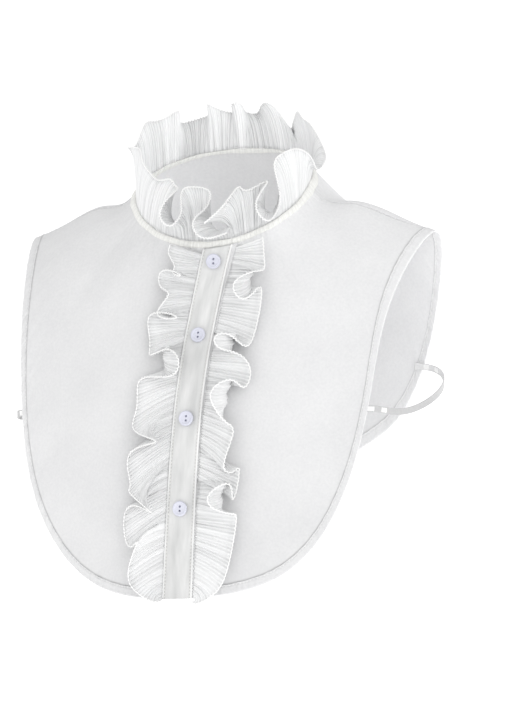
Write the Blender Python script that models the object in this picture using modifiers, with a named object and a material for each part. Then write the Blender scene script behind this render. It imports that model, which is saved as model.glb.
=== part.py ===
"""Detachable ruffled collar with a short button-front bib, worn and filled out, in metres.

+Z is up, the front faces -Y and +X is the wearer's left. The origin is the middle of the neck seam, where
the wearer holds the collar up. Every cloth piece is a thin wall laid on one surface, body(), which runs from
the neck seam down to the outer edge all round the wearer.
"""

import bpy
import numpy as np
from mathutils import Vector

MM = 0.001
GAP = 0.3 * MM  # clearance between pieces at a seam
CLOTH = 1.0 * MM  # wall of a panel and of a ruffle
HEM_CLOTH = 1.5 * MM  # wall of the turned edge, two layers
PLACKET_CLOTH = 1.3 * MM
BINDING_CLOTH = 2.0 * MM

NECK_HALF_WIDTH = 68.5 * MM
NECK_HALF_DEPTH = 55.0 * MM
NECK_TILT = 33.0 * MM  # the back of the neck seam above its middle, and the front below it
NECK_SIDE_RISE = 6.0 * MM
NECK_FRONT_SWAY = 7.0 * MM  # the front of the neck seam is worn this far to the wearer's left
SHOULDER_LEAN = 0.033  # the wearer's left side sits a little higher
BINDING_WIDTH = 5.0 * MM
HEM_WIDTH = 8.0 * MM
SEAM_HALF_GAP = 0.16  # degrees round the neck, half the gap at a shoulder seam

PLACKET_WIDTH = 22.5 * MM
PLACKET_TOP_X = 19.5 * MM  # the front opening is worn turned to the wearer's left
PLACKET_HEM_X = 5.2 * MM
PLACKET_TURN = 3.2  # how soon the placket swings back to the middle
STAND_SHOWS = 4.0 * MM  # how much of the button stand shows beside the placket's top
BUTTON_DIAMETER = 11.5 * MM
BUTTON_THICKNESS = 2.4 * MM
BUTTON_RIM = 0.5 * MM
BUTTON_HOLE = 1.7 * MM
BUTTON_HOLE_SPREAD = 3.2 * MM
BUTTON_REACH = (0.061, 0.267, 0.493, 0.742)  # share of the way from neck seam to hem
ELASTIC_WIDTH = 5.0 * MM
ELASTIC_CLOTH = 1.0 * MM
ELASTIC_INSET = 1.5 * MM  # from the outer edge to where the strap first meets the band
ELASTIC_TAIL = 6.0 * MM  # sewn down inside the band

NECK_RUFFLE_STAND = 11.0 * MM  # how high a pleat stands before it bends to its free edge
NECK_RUFFLE_BEND = (0.5, 0.15, 0.25)  # shares of the way up, out and round at which it bends
PLACKET_RUFFLE_PUFF = 6.0 * MM  # how far a pleat runs out from its seam before it bends
PLACKET_RUFFLE_BEND = (0.35, 0.25, 0.45)  # shares of the way along the seam, out and off the front
CURL_LIFT = 11.0 * MM  # a fold that stands higher off the front curls back over itself
CURL_GROWTH = 14.0 * MM  # from there to a full curl
CURL_PUFF = 24.0 * MM  # how much farther out a full curl bends
CURL_DROP = 0.8  # and how much lower, as a share
SEWN_SWING = 0.25  # share of the pleats' swing that is left at the seam
STAND_SETBACK = 1.0 * MM  # from the placket's inner edge to the button stand's
OPENING_EASE = 0.3  # degrees round the neck, from the opening to the binding's end
NECK_OPENING = 18.5  # degrees round the neck, at the placket's free edge
NECK_PLEATS = 84
NECK_PLEAT_SWING = 0.7 * MM
PLACKET_PLEATS = 42
PLACKET_PLEAT_SWING = 0.6 * MM
RUFFLE_TOP = 0.035  # reach at which the placket ruffles start

# Where the body surface passes, as sections running down from the neck seam. Turn is the place round the neck
# in degrees, 0 at the front and 180 at the back; the points are (x, y, z) in mm on the wearer's left.
SECTION_REACH = (0.0, 0.08, 0.36, 0.68, 1.0)
SECTIONS = (
    # turn, below the neck, upper, middle, outer edge
    (0, (0, -58, -54), (0, -80, -128), (0, -95, -214), (0, -103.5, -297)),
    (18, (24.5, -55.5, -50), (43, -77.5, -122), (61, -87.5, -206), (75, -81, -284)),
    (36, (46, -48.5, -39), (71, -64, -94), (98, -72.5, -162), (121.5, -69, -229)),
    (54, (61.5, -35, -26), (87, -46, -60), (115, -55, -104), (140, -56, -154)),
    (72, (71.5, -18.5, -12), (95, -22, -29), (122, -28, -50), (149, -33, -79)),
    (90, (76, 1, -2), (101, 6, -8.5), (131, 14, -19.5), (162, 22, -31)),
    (112, (72, 23, 6), (98, 34, -12), (129, 46, -37), (155, 48, -83)),
    (135, (55, 43, 17), (80, 60, -18), (108, 69, -76), (133, 57, -150)),
    (147, (42.5, 50.5, 20.5), (65, 70, -27), (89.5, 76.5, -95), (112, 60, -179)),
    (158, (29, 56, 23), (48, 76, -36), (68, 80, -112), (84, 62, -197)),
    (180, (0, 61, 18), (0, 80, -50), (0, 85, -136), (0, 71, -232)),
)

# Neck ruffle, a few rows a fold, on its crest, its sides and in the hollow after it. Turn is the place round
# the neck in degrees. Rise is how high the free edge stands over the seam, out is how far it falls outward,
# and drift is how far it slips round the neck towards a larger turn, in mm.
NECK_FOLDS = (
    # turn, rise, out, drift
    (19, 12, 28, -18),
    (23, 24, 20, -10),
    (28, 35, 6, -6),
    (32, 31, 8, -4),
    (38, 35, 6, 4),
    (43, 19, 26, -15),
    (46, 5, 30, -17),
    (49, 2, 26, -12),
    (53, 16, 14, -6),
    (60, 34, 6, -15),
    (67, 39, 5, -15),
    (75, 37, 4, -8),
    (82, 26, 6, 0),
    (90, 12, 10, -6),
    (97, 13, 13, -8),
    (103, 20, 10, -4),
    (111, 33, 0, 4),
    (118, 35, -4, 10),
    (125, 37, -4, 14),
    (133, 23, 2, 22),
    (139, 17, 8, 26),
    (146, 27, 4, 21),
    (154, 35, 1, 17),
    (161, 33, 4, 17),
    (168, 26, 13, 17),
    (174, 26, 16, 18),
    (179, 28, 12, 12),
    (184, 34, 2, 5),
    (189, 33, 4, 5),
    (193, 28, 10, 0),
    (199, 31, 8, 3),
    (205, 36, 2, 4),
    (209, 30, 10, -3),
    (214, 27, 16, -3),
    (220, 25, 18, 2),
    (225, 30, 8, 1),
    (229, 38, 0, 0),
    (235, 36, 4, 0),
    (243, 36, 8, 0),
    (250, 38, 8, 0),
    (258, 33, 6, 0),
    (266, 29, 8, -5),
    (272, 32, 9, -3),
    (280, 37, 2, -6),
    (287, 39, -3, 0),
    (294, 35, -3, 6),
    (303, 32, -3, 15),
    (313, 33, 0, 19),
    (321, 38, 0, 20),
    (327, 36, 3, 20),
    (331, 35, 7, 20),
    (335, 30, 20, 17),
    (338, 24, 28, 12),
    (341, 17, 31, 8),
    (344, 12, 31, 9),
    (347, 14, 27, 8),
    (350, 22, 21, 5),
    (352, 32, 14, -2),
    (354, 39, 8, -6),
    (357, 41, 4, -5),
    (360, 40, 4, 2),
    (363, 35, 7, 4),
    (365, 26, 16, 1),
    (367, 20, 25, -6),
    (370, 13, 33, -12),
    (372, 5, 34, -11),
    (375, 2, 32, -7),
    (378, 5, 24, 0),
)

# Placket ruffles, top to bottom, a few rows a fold, like the neck ruffle's. At is the place down the seam and
# edge the place of the free edge, both as a share of the seam. Out is how far the free edge lies from the
# seam, and lift is how far it stands off the front, in mm.
RIGHT_FOLDS = (
    # at, edge, out, lift
    (0.00, -0.02, 25, 5),
    (0.02, 0.01, 24, 7),
    (0.04, 0.045, 17, 9),
    (0.055, 0.07, 15, 12),
    (0.06, 0.075, 7, 17),
    (0.075, 0.06, 27, 5),
    (0.10, 0.11, 25, 8),
    (0.12, 0.14, 15, 14),
    (0.16, 0.195, 22, 9),
    (0.17, 0.205, 2, 19),
    (0.185, 0.19, 29, 5),
    (0.225, 0.265, 26, 6),
    (0.25, 0.31, 22, 9),
    (0.275, 0.30, 5, 20),
    (0.30, 0.33, -8, 25),
    (0.315, 0.37, 0, 18),
    (0.335, 0.375, 28, 6),
    (0.385, 0.45, 29, 5),
    (0.43, 0.52, 27, 9),
    (0.47, 0.55, 4, 22),
    (0.50, 0.58, 31, 5),
    (0.56, 0.665, 29, 6),
    (0.585, 0.70, 26, 9),
    (0.63, 0.75, 3, 23),
    (0.66, 0.735, 30, 5),
    (0.75, 0.845, 28, 7),
    (0.775, 0.835, 17, 14),
    (0.845, 0.92, 27, 6),
    (0.93, 0.985, 20, 4),
    (0.98, 1.01, 5, 4),
    (1.00, 1.00, -2, 3),
)
LEFT_FOLDS = (
    # at, edge, out, lift
    (0.00, -0.02, 20, 5),
    (0.03, 0.055, 28, 6),
    (0.04, 0.08, 29, 9),
    (0.06, 0.095, 23, 20),
    (0.085, 0.135, 17, 27),
    (0.10, 0.17, 26, 20),
    (0.115, 0.13, 31, 7),
    (0.14, 0.165, 34, 5),
    (0.175, 0.215, 35, 5),
    (0.235, 0.29, 33, 8),
    (0.24, 0.275, 24, 20),
    (0.25, 0.275, 14, 27),
    (0.265, 0.305, 16, 24),
    (0.29, 0.315, 28, 13),
    (0.325, 0.355, 37, 6),
    (0.365, 0.40, 35, 9),
    (0.375, 0.385, 28, 19),
    (0.395, 0.415, 17, 27),
    (0.42, 0.46, 19, 24),
    (0.455, 0.495, 25, 12),
    (0.48, 0.525, 29, 8),
    (0.55, 0.61, 24, 10),
    (0.565, 0.63, 30, 6),
    (0.575, 0.62, 34, 4),
    (0.62, 0.68, 33, 5),
    (0.645, 0.705, 31, 8),
    (0.655, 0.665, 31, 19),
    (0.675, 0.695, 19, 27),
    (0.695, 0.735, 21, 24),
    (0.72, 0.75, 30, 11),
    (0.735, 0.755, 33, 5),
    (0.78, 0.805, 32, 4),
    (0.86, 0.915, 27, 4),
    (0.94, 0.985, 18, 4),
    (0.98, 1.015, 5, 4),
    (1.00, 1.01, 0, 3),
)

# Where the elastic passes under the arm between its sewn ends, (x, y, z) in mm on the wearer's left.
ELASTIC_PATHS = {  # middle points of each strap in mm; the right one lies close in
    1: ((155, -20, -163), (169, 15, -150), (160, 40, -138)),
    -1: ((-155, -17, -163), (-164, 14, -150), (-156, 42, -137)),
}
ELASTIC_FRONT_TURN = 52.5
ELASTIC_BACK_TURN = 129.5

PAINTS = {
    # name: colour, roughness
    "cloth": ((0.84, 0.85, 0.86), 0.75),
    "ruffle": ((0.93, 0.93, 0.94), 0.70),
    "satin": ((0.88, 0.88, 0.88), 0.35),
    "binding": ((0.89, 0.87, 0.78), 0.70),
    "button": ((0.72, 0.75, 0.86), 0.30),
    "elastic": ((0.80, 0.80, 0.80), 0.80),
}


def clear_scene():
    """Removes whatever the open file holds."""
    for thing in list(bpy.data.objects):
        bpy.data.objects.remove(thing, do_unlink=True)


def make_collection(name):
    """A collection in the scene."""
    group = bpy.data.collections.new(name)
    bpy.context.scene.collection.children.link(group)
    return group


def make_paint(name):
    """A Principled material of a paint in the table."""
    colour, roughness = PAINTS[name]
    paint = bpy.data.materials.new(name)
    paint.use_nodes = True
    shader = paint.node_tree.nodes["Principled BSDF"]
    shader.inputs["Base Color"].default_value = (*colour, 1.0)
    shader.inputs["Roughness"].default_value = roughness
    shader.inputs["Metallic"].default_value = 0.0
    return paint


def unit(vectors):
    """The same directions at length 1."""
    return vectors / np.maximum(np.linalg.norm(vectors, axis=-1, keepdims=True), 1e-12)


def spline_weights(knots, at):
    """How much each knot's value counts at each place, for the natural cubic spline through the knots."""
    knots = np.asarray(knots, float)
    at = np.clip(np.asarray(at, float).ravel(), knots[0], knots[-1])
    count = len(knots)
    step = np.diff(knots)
    bend = np.eye(count)
    slopes = np.zeros((count, count))
    for k in range(1, count - 1):
        bend[k, k - 1 : k + 2] = (step[k - 1], 2 * (step[k - 1] + step[k]), step[k])
        slopes[k, k - 1 : k + 2] = (6 / step[k - 1], -6 / step[k - 1] - 6 / step[k], 6 / step[k])
    curve = np.linalg.solve(bend, slopes)
    place = np.clip(np.searchsorted(knots, at, side="right") - 1, 0, count - 2)
    left = ((knots[place + 1] - at) / step[place])[:, None]
    right = 1 - left
    value = np.eye(count)
    straight = left * value[place] + right * value[place + 1]
    swell = (left**3 - left) * curve[place] + (right**3 - right) * curve[place + 1]
    return straight + swell * (step[place] ** 2)[:, None] / 6


def section_net():
    """The sections' points all round the wearer: turns, and points by turn and reach."""
    turns = np.array([row[0] for row in SECTIONS], float)
    points = np.array([[(0, 0, 0), *row[1:]] for row in SECTIONS], float) * MM
    side = np.sin(np.radians(turns))
    back = -np.cos(np.radians(turns))
    points[:, 0, 0] = NECK_HALF_WIDTH * side
    points[:, 0, 1] = NECK_HALF_DEPTH * back
    points[:, 0, 2] = NECK_TILT * back + NECK_SIDE_RISE * side**2
    mirrored = points[::-1] * np.array([-1.0, 1.0, 1.0])
    turns = np.concatenate([-turns[::-1][:-1], turns])
    points = np.concatenate([mirrored[:-1], points])
    sway = np.maximum(np.cos(np.radians(turns)), 0)[:, None] * (1 - np.array(SECTION_REACH)) ** 2
    points[:, :, 0] += NECK_FRONT_SWAY * sway
    turns = np.concatenate([turns[-4:-1] - 360, turns, turns[1:4] + 360])
    points = np.concatenate([points[-4:-1], points, points[1:4]])
    return turns, points


NET_TURNS, NET_POINTS = section_net()


def body(turn, reach):
    """Points of the body surface: turn in degrees round the neck, reach 0 at the neck seam and 1 at the edge."""
    turn, reach = np.broadcast_arrays(np.asarray(turn, float), np.asarray(reach, float))
    by_turn = spline_weights(NET_TURNS, (turn.ravel() + 180) % 360 - 180)
    by_reach = spline_weights(SECTION_REACH, reach)
    points = np.einsum("nt,nr,trc->nc", by_turn, by_reach, NET_POINTS, optimize=True)
    points[:, 2] += SHOULDER_LEAN * points[:, 0]
    return points.reshape(turn.shape + (3,))


def body_down(turn, reach, step=0.01):
    """The way down the body surface."""
    low = np.clip(np.asarray(reach, float) - step, 0, 1)
    high = np.clip(np.asarray(reach, float) + step, 0, 1)
    return unit(body(turn, high) - body(turn, low))


def body_normal(turn, reach, step=0.5):
    """The way out of the body surface, away from the wearer."""
    turn = np.asarray(turn, float)
    round_way = body(turn + step, reach) - body(turn - step, reach)
    return unit(np.cross(body_down(turn, reach), round_way))


def lifted(turn, reach, lift):
    """Points of the body surface moved out by a lift."""
    return body(turn, reach) + body_normal(turn, reach) * lift


def section_length(turn):
    """The way down the body surface from the neck seam to the edge, at each turn."""
    line = body(np.asarray(turn, float)[..., None], np.linspace(0, 1, 25))
    return np.linalg.norm(np.diff(line, axis=-2), axis=-1).sum(-1)


def turn_at(x, reach):
    """The turn at which the front of the body surface has this x."""
    x, reach = np.broadcast_arrays(np.asarray(x, float), np.asarray(reach, float))
    probe = 18.0
    slope = body(np.full(x.shape, probe), reach)[..., 0] / probe
    turn = x / slope
    for _ in range(12):
        turn = turn + (x - body(turn, reach)[..., 0]) / slope
    return turn


def placket_x(reach):
    """The x of the placket's middle line, which swings back to the middle on its way down."""
    return PLACKET_HEM_X + (PLACKET_TOP_X - PLACKET_HEM_X) * np.exp(-PLACKET_TURN * np.asarray(reach))


def stand_shows(reach):
    """How far the button stand shows past the placket, most at the neck."""
    return STAND_SHOWS * (0.15 + 0.85 * np.exp(-7 * np.asarray(reach)))


def wall_object(name, points, wall, paint, group):
    """A wall of even thickness, half to each side of a grid of points in rows and columns."""
    rows, columns = points.shape[:2]
    index = np.arange(rows * columns).reshape(rows, columns)
    corners = (index[:-1, :-1], index[1:, :-1], index[1:, 1:], index[:-1, 1:])
    faces = np.stack(corners, axis=-1).reshape(-1, 4)
    mesh = bpy.data.meshes.new(name)
    mesh.from_pydata(points.reshape(-1, 3).tolist(), [], faces.tolist())
    mesh.shade_smooth()
    mesh.materials.append(paint)
    thing = bpy.data.objects.new(name, mesh)
    group.objects.link(thing)
    shell = thing.modifiers.new("wall", "SOLIDIFY")
    shell.thickness = wall
    shell.offset = 0.0
    return thing


def straight_side(turn):
    """A panel's side that runs straight down from one place at the neck."""
    return lambda reach: np.full(np.shape(reach), float(turn))


def opening_side(side):
    """A front panel's opening side, half a gap from the placket's middle line."""
    return lambda reach: turn_at(placket_x(reach) + side * GAP / 2, reach)


def panel_grid(sides, columns, rows, top_inset, edge_inset):
    """Turns and reaches of a grid between two sides, kept a set way from the neck seam and the edge."""
    share = np.linspace(0, 1, columns)[None, :]
    down = np.linspace(0, 1, rows)[:, None]
    reach = np.broadcast_to(down, (rows, columns))
    for _ in range(2):
        turn = sides[0](reach) * (1 - share) + sides[1](reach) * share
        length = section_length(turn)
        reach = top_inset / length * (1 - down) + (1 - edge_inset / length) * down
    return turn, reach


def band_grid(sides, columns):
    """Turns and reaches of the strip along the outer edge, as deep as the hem."""
    share = np.linspace(0, 1, columns)[None, :]
    up = np.linspace(1, 0, 3)[:, None]
    reach = np.ones((3, columns))
    for _ in range(2):
        turn = sides[0](reach) * (1 - share) + sides[1](reach) * share
        reach = 1 - HEM_WIDTH / section_length(turn) * up
    return turn, reach


def make_panels(group, paint):
    """Two fronts and a back, each with its turned edge as a thicker strip just outside it."""
    seam = 90 - SEAM_HALF_GAP
    panels = (
        # panel, band, sides, columns, rows
        ("front_panel_left", "edge_band_front_left", (opening_side(1), straight_side(seam)), 25, 14),
        ("front_panel_right", "edge_band_front_right", (straight_side(-seam), opening_side(-1)), 25, 14),
        ("back_panel", "edge_band_back", (straight_side(180 - seam), straight_side(180 + seam)), 37, 13),
    )
    for name, band_name, sides, columns, rows in panels:
        turn, reach = panel_grid(sides, columns, rows, BINDING_WIDTH + GAP, HEM_WIDTH + GAP)
        wall_object(name, lifted(turn, reach, 0.0), CLOTH, paint, group)
        turn, reach = band_grid(sides, columns)
        wall_object(band_name, lifted(turn, reach, 0.0), HEM_CLOTH, paint, group)


def make_binding(group, paint):
    """The narrow binding over the neck seam, open beside the placket."""
    turn = np.linspace(NECK_OPENING + OPENING_EASE, NECK_OPENING + 360 - OPENING_EASE, 84)[None, :]
    down = np.linspace(0, 1, 3)[:, None]
    reach = BINDING_WIDTH * down / section_length(turn)
    wall_object("neck_binding", lifted(turn, reach, 0.0), BINDING_CLOTH, paint, group)


def make_placket(group, stand_paint, paint):
    """The button stand on the left front, and the placket over it; gives the height of the placket's face."""
    top = (BINDING_WIDTH + 4 * GAP) / section_length(np.array([10.0]))[0]
    reach = np.linspace(top, 1.0, 34)[:, None]
    across = np.linspace(0, 1, 5)[None, :]
    middle = placket_x(reach)
    half = PLACKET_WIDTH / 2
    stand_x = middle - half + STAND_SETBACK + (PLACKET_WIDTH - STAND_SETBACK + stand_shows(reach)) * across
    stand_lift = HEM_CLOTH / 2 + GAP + CLOTH / 2
    stand_points = lifted(turn_at(stand_x, reach), reach, stand_lift)
    wall_object("under_placket", stand_points, CLOTH, stand_paint, group)
    lift = stand_lift + CLOTH / 2 + GAP + PLACKET_CLOTH / 2
    placket_x_grid = middle - half + PLACKET_WIDTH * across
    wall_object("placket", lifted(turn_at(placket_x_grid, reach), reach, lift), PLACKET_CLOTH, paint, group)
    return lift + PLACKET_CLOTH / 2


def placed_cylinder(name, diameter, depth, sides, spot, out, group):
    """A cylinder standing along a direction."""
    bpy.ops.mesh.primitive_cylinder_add(vertices=sides, radius=diameter / 2, depth=depth)
    thing = bpy.context.object
    thing.name = name
    for other in list(thing.users_collection):
        other.objects.unlink(thing)
    group.objects.link(thing)
    thing.location = spot.tolist()
    thing.rotation_mode = "QUATERNION"
    thing.rotation_quaternion = Vector((0, 0, 1)).rotation_difference(Vector(out.tolist()))
    return thing


def make_buttons(group, cutters, paint, placket_face):
    """Four round two-hole buttons on the placket."""
    for number, reach in enumerate(BUTTON_REACH, start=1):
        turn = turn_at(placket_x(reach), reach)
        out = body_normal(turn, reach)
        down = body_down(turn, reach)
        spot = body(turn, reach) + out * (placket_face + GAP + BUTTON_THICKNESS / 2)
        name = f"button_{number}"
        disc = placed_cylinder(name, BUTTON_DIAMETER, BUTTON_THICKNESS, 24, spot, out, group)
        disc.data.materials.append(paint)
        rim = disc.modifiers.new("rim", "BEVEL")
        rim.width = BUTTON_RIM
        for end in (-1, 1):
            centre = spot + down * (end * BUTTON_HOLE_SPREAD / 2)
            drill_name = f"{name}_drill_{'upper' if end < 0 else 'lower'}"
            drill = placed_cylinder(drill_name, BUTTON_HOLE, 3 * BUTTON_THICKNESS, 12, centre, out, cutters)
            drill.hide_render = True
            drill.display_type = "WIRE"
            hole = disc.modifiers.new("hole", "BOOLEAN")
            hole.operation = "DIFFERENCE"
            hole.solver = "EXACT"
            hole.object = drill


def even_places(points, count):
    """Evenly spaced places along a row of points, as row numbers."""
    length = np.concatenate([[0], np.cumsum(np.linalg.norm(np.diff(points, axis=0), axis=1))])
    return np.interp(np.linspace(0, length[-1], count), length, np.arange(len(points)))


def ruffle_points(root, control, edge, rows, swing):
    """Pleat lines as arcs from the seam to the free edge, every other one set back by the pleating."""
    along = np.linspace(0, 1, rows)[:, None, None]
    arcs = (1 - along) ** 2 * root + 2 * along * (1 - along) * control + along**2 * edge
    out = unit(np.cross(np.gradient(arcs, axis=1), np.gradient(arcs, axis=0)))
    to_and_fro = np.where(np.arange(len(root)) % 2 == 0, 1.0, -1.0)[None, :, None]
    return arcs + out * to_and_fro * swing * (SEWN_SWING + (1 - SEWN_SWING) * along)


def neck_ways(turn):
    """At each turn of the neck seam, the level way out and the way round."""
    angle = np.radians(turn)
    level = np.zeros_like(angle)
    out = unit(np.stack([np.sin(angle) / NECK_HALF_WIDTH, -np.cos(angle) / NECK_HALF_DEPTH, level], axis=1))
    return out, np.stack([-out[:, 1], out[:, 0], level], axis=1)


def make_neck_ruffle(group, paint):
    """The standing ruffle round the neck seam, open beside the placket."""
    turn, rise, fall, drift = np.array(NECK_FOLDS, float).T
    up = np.array([0.0, 0.0, 1.0])
    out, way = neck_ways(turn)
    edge_points = body(turn, 0.0) + (out * fall[:, None] + way * drift[:, None] + up * rise[:, None]) * MM
    places = even_places(edge_points, 2 * NECK_PLEATS + 1)
    turns = np.interp(places, np.arange(len(turn)), turn)
    out, way = neck_ways(turns)
    root = body(turns, 0.0) + up * (GAP + BINDING_CLOTH / 2)
    edge = spline_weights(np.arange(len(turn)), places) @ edge_points
    outward = ((edge - root) * out).sum(1)[:, None]
    sideways = ((edge - root) * way).sum(1)[:, None]
    upward = (edge - root)[:, 2:]
    up_share, out_share, round_share = NECK_RUFFLE_BEND
    stand = up * (NECK_RUFFLE_STAND + up_share * upward)
    control = root + stand + out * (out_share * outward) + way * (round_share * sideways)
    points = ruffle_points(root, control, edge, 5, NECK_PLEAT_SWING)
    wall_object("neck_ruffle", points, CLOTH, paint, group)


def placket_seam(at, side):
    """Where a placket ruffle is sewn, with the way out from the placket and the way off the front."""
    at = np.asarray(at, float)
    reach = np.clip(RUFFLE_TOP + (1 - RUFFLE_TOP) * at, 0.0, 1.0)
    beside = PLACKET_WIDTH / 2 + CLOTH + GAP + (stand_shows(reach) if side > 0 else 0.0)
    turn = turn_at(placket_x(reach) + side * beside, reach)
    off = body_normal(turn, reach)
    down = body_down(turn, reach)
    past = (RUFFLE_TOP + (1 - RUFFLE_TOP) * at - reach)[:, None] * section_length(np.array([0.0]))[0]
    out = unit(np.cross(off, down)) * side
    points = body(turn, reach) + off * (HEM_CLOTH / 2 + GAP + CLOTH) + down * past
    return points, out, off


def make_placket_ruffle(name, folds, side, group, paint):
    """A ruffle along one edge of the placket; side is 1 on the wearer's left and -1 on the right."""
    at, edge_at, far, lift = np.array(folds, float).T
    root, out, off = placket_seam(at, side)
    slip = placket_seam(edge_at, side)[0] - root
    edge_points = root + out * (far * MM)[:, None] + off * (lift * MM)[:, None] + slip
    places = even_places(edge_points, 2 * PLACKET_PLEATS + 1)
    root, out, off = placket_seam(np.interp(places, np.arange(len(at)), at), side)
    edge = spline_weights(np.arange(len(at)), places) @ edge_points
    outward = ((edge - root) * out).sum(1)[:, None]
    upward = ((edge - root) * off).sum(1)[:, None]
    along_share, out_share, off_share = PLACKET_RUFFLE_BEND
    slide = edge - root - out * outward - off * upward
    curl = np.clip((upward - CURL_LIFT) / CURL_GROWTH, 0, 1)
    puff = out * (PLACKET_RUFFLE_PUFF + out_share * outward + CURL_PUFF * curl)
    control = root + along_share * slide + puff + off * (off_share * upward * (1 - CURL_DROP * curl))
    points = ruffle_points(root, control, edge, 5, PLACKET_PLEAT_SWING)
    wall_object(name, points, CLOTH, paint, group)


def elastic_end(turn, side):
    """Two points inside an edge band where the elastic is sewn on, the outer one first."""
    under = -(HEM_CLOTH / 2 + 2 * GAP + ELASTIC_CLOTH / 2)
    reach = 1 - ELASTIC_INSET / section_length(np.array([turn]))[0]
    outer = lifted(side * turn, reach, under)
    level = unit(np.cross(body_normal(side * turn, reach), np.array([0.0, 0.0, 1.0])))
    inward = -level * np.sign(level[0] * side)
    return [outer, outer + inward * ELASTIC_TAIL]


def make_elastics(group, paint):
    """A flat strap under each arm, sewn inside the front edge and inside the back edge."""
    for side, name in ((1, "elastic_left"), (-1, "elastic_right")):
        middle = np.array(ELASTIC_PATHS[side]) * MM
        middle[:, 2] += SHOULDER_LEAN * middle[:, 0]
        front = elastic_end(ELASTIC_FRONT_TURN, side)
        back = elastic_end(ELASTIC_BACK_TURN, side)
        line = np.array([*front[::-1], *middle, *back])
        path = spline_weights(np.arange(len(line)), even_places(line, 25)) @ line
        along = unit(np.gradient(path, axis=0))
        across = unit(np.array([0.0, 0.0, 1.0]) - along * along[:, 2:])
        width = np.linspace(-0.5, 0.5, 3)[:, None, None] * ELASTIC_WIDTH
        wall_object(name, path + across * width, ELASTIC_CLOTH, paint, group)


def build():
    """Makes the collar."""
    clear_scene()
    group = make_collection("detachable_collar")
    cutters = make_collection("cutters")
    paints = {name: make_paint(name) for name in PAINTS}
    make_panels(group, paints["cloth"])
    make_binding(group, paints["binding"])
    make_neck_ruffle(group, paints["ruffle"])
    placket_face = make_placket(group, paints["cloth"], paints["satin"])
    make_placket_ruffle("placket_ruffle_right", RIGHT_FOLDS, -1, group, paints["ruffle"])
    make_placket_ruffle("placket_ruffle_left", LEFT_FOLDS, 1, group, paints["ruffle"])
    make_buttons(group, cutters, paints["button"], placket_face)
    make_elastics(group, paints["elastic"])


build()
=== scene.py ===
"""Detachable ruffled collar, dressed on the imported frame: fine pleats, rolled edges, sewing, satin, buttons.

All sizes are in metres. +Z is up, the front faces -Y and +X is the wearer's left.
"""

import bpy
import numpy as np
from mathutils import Matrix


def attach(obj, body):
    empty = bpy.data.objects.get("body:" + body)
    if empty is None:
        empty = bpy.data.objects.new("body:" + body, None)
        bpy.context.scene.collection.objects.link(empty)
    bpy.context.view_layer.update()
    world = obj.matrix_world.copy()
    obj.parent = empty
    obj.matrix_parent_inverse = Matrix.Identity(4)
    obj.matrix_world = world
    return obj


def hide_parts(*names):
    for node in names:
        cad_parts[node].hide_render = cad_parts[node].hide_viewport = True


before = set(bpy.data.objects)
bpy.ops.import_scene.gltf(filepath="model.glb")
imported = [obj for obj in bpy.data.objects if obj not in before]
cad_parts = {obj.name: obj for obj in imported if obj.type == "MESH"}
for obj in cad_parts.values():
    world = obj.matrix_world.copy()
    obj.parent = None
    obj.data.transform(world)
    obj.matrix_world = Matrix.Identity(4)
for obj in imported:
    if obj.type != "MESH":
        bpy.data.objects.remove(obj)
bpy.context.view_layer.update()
MM = 0.001

# Worn form
# The collar is worn and filled out. Every cloth piece lies on one smooth form that runs from the neck seam
# down to the outer edge all round the wearer, given by sections at turns round the neck (0 front, 180 back).
NECK_HALF_WIDTH = 68.5 * MM
NECK_HALF_DEPTH = 55.0 * MM
NECK_TILT = 33.0 * MM
NECK_SIDE_RISE = 6.0 * MM
NECK_FRONT_SWAY = 7.0 * MM
SHOULDER_LEAN = 0.033
UP = np.array([0.0, 0.0, 1.0])
SECTION_REACH = (0.0, 0.08, 0.36, 0.68, 1.0)
SECTIONS = (
    # turn, below the neck, upper, middle, outer edge (x, y, z in mm on the wearer's left)
    (0, (0, -58, -54), (0, -80, -128), (0, -95, -214), (0, -103.5, -297)),
    (18, (24.5, -55.5, -50), (43, -77.5, -122), (61, -87.5, -206), (75, -81, -284)),
    (36, (46, -48.5, -39), (71, -64, -94), (98, -72.5, -162), (121.5, -69, -229)),
    (54, (61.5, -35, -26), (87, -46, -60), (115, -55, -104), (140, -56, -154)),
    (72, (71.5, -18.5, -12), (95, -22, -29), (122, -28, -50), (149, -33, -79)),
    (90, (76, 1, -2), (101, 6, -8.5), (131, 14, -19.5), (162, 22, -31)),
    (112, (72, 23, 6), (98, 34, -12), (129, 46, -37), (155, 48, -83)),
    (135, (55, 43, 17), (80, 60, -18), (108, 69, -76), (133, 57, -150)),
    (147, (42.5, 50.5, 20.5), (65, 70, -27), (89.5, 76.5, -95), (112, 60, -179)),
    (158, (29, 56, 23), (48, 76, -36), (68, 80, -112), (84, 62, -197)),
    (180, (0, 61, 18), (0, 80, -50), (0, 85, -136), (0, 71, -232)),
)


def unit(vectors):
    """The same directions at length 1."""
    return vectors / np.maximum(np.linalg.norm(vectors, axis=-1, keepdims=True), 1e-12)


def spline_weights(knots, at):
    """How much each knot's value counts at each place, for the natural cubic spline through the knots."""
    knots = np.asarray(knots, float)
    at = np.clip(np.asarray(at, float).ravel(), knots[0], knots[-1])
    count = len(knots)
    step = np.diff(knots)
    bend = np.eye(count)
    slopes = np.zeros((count, count))
    for k in range(1, count - 1):
        bend[k, k - 1 : k + 2] = (step[k - 1], 2 * (step[k - 1] + step[k]), step[k])
        slopes[k, k - 1 : k + 2] = (6 / step[k - 1], -6 / step[k - 1] - 6 / step[k], 6 / step[k])
    curve = np.linalg.solve(bend, slopes)
    place = np.clip(np.searchsorted(knots, at, side="right") - 1, 0, count - 2)
    left = ((knots[place + 1] - at) / step[place])[:, None]
    right = 1 - left
    value = np.eye(count)
    swell = (left**3 - left) * curve[place] + (right**3 - right) * curve[place + 1]
    return left * value[place] + right * value[place + 1] + swell * (step[place] ** 2)[:, None] / 6


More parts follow.
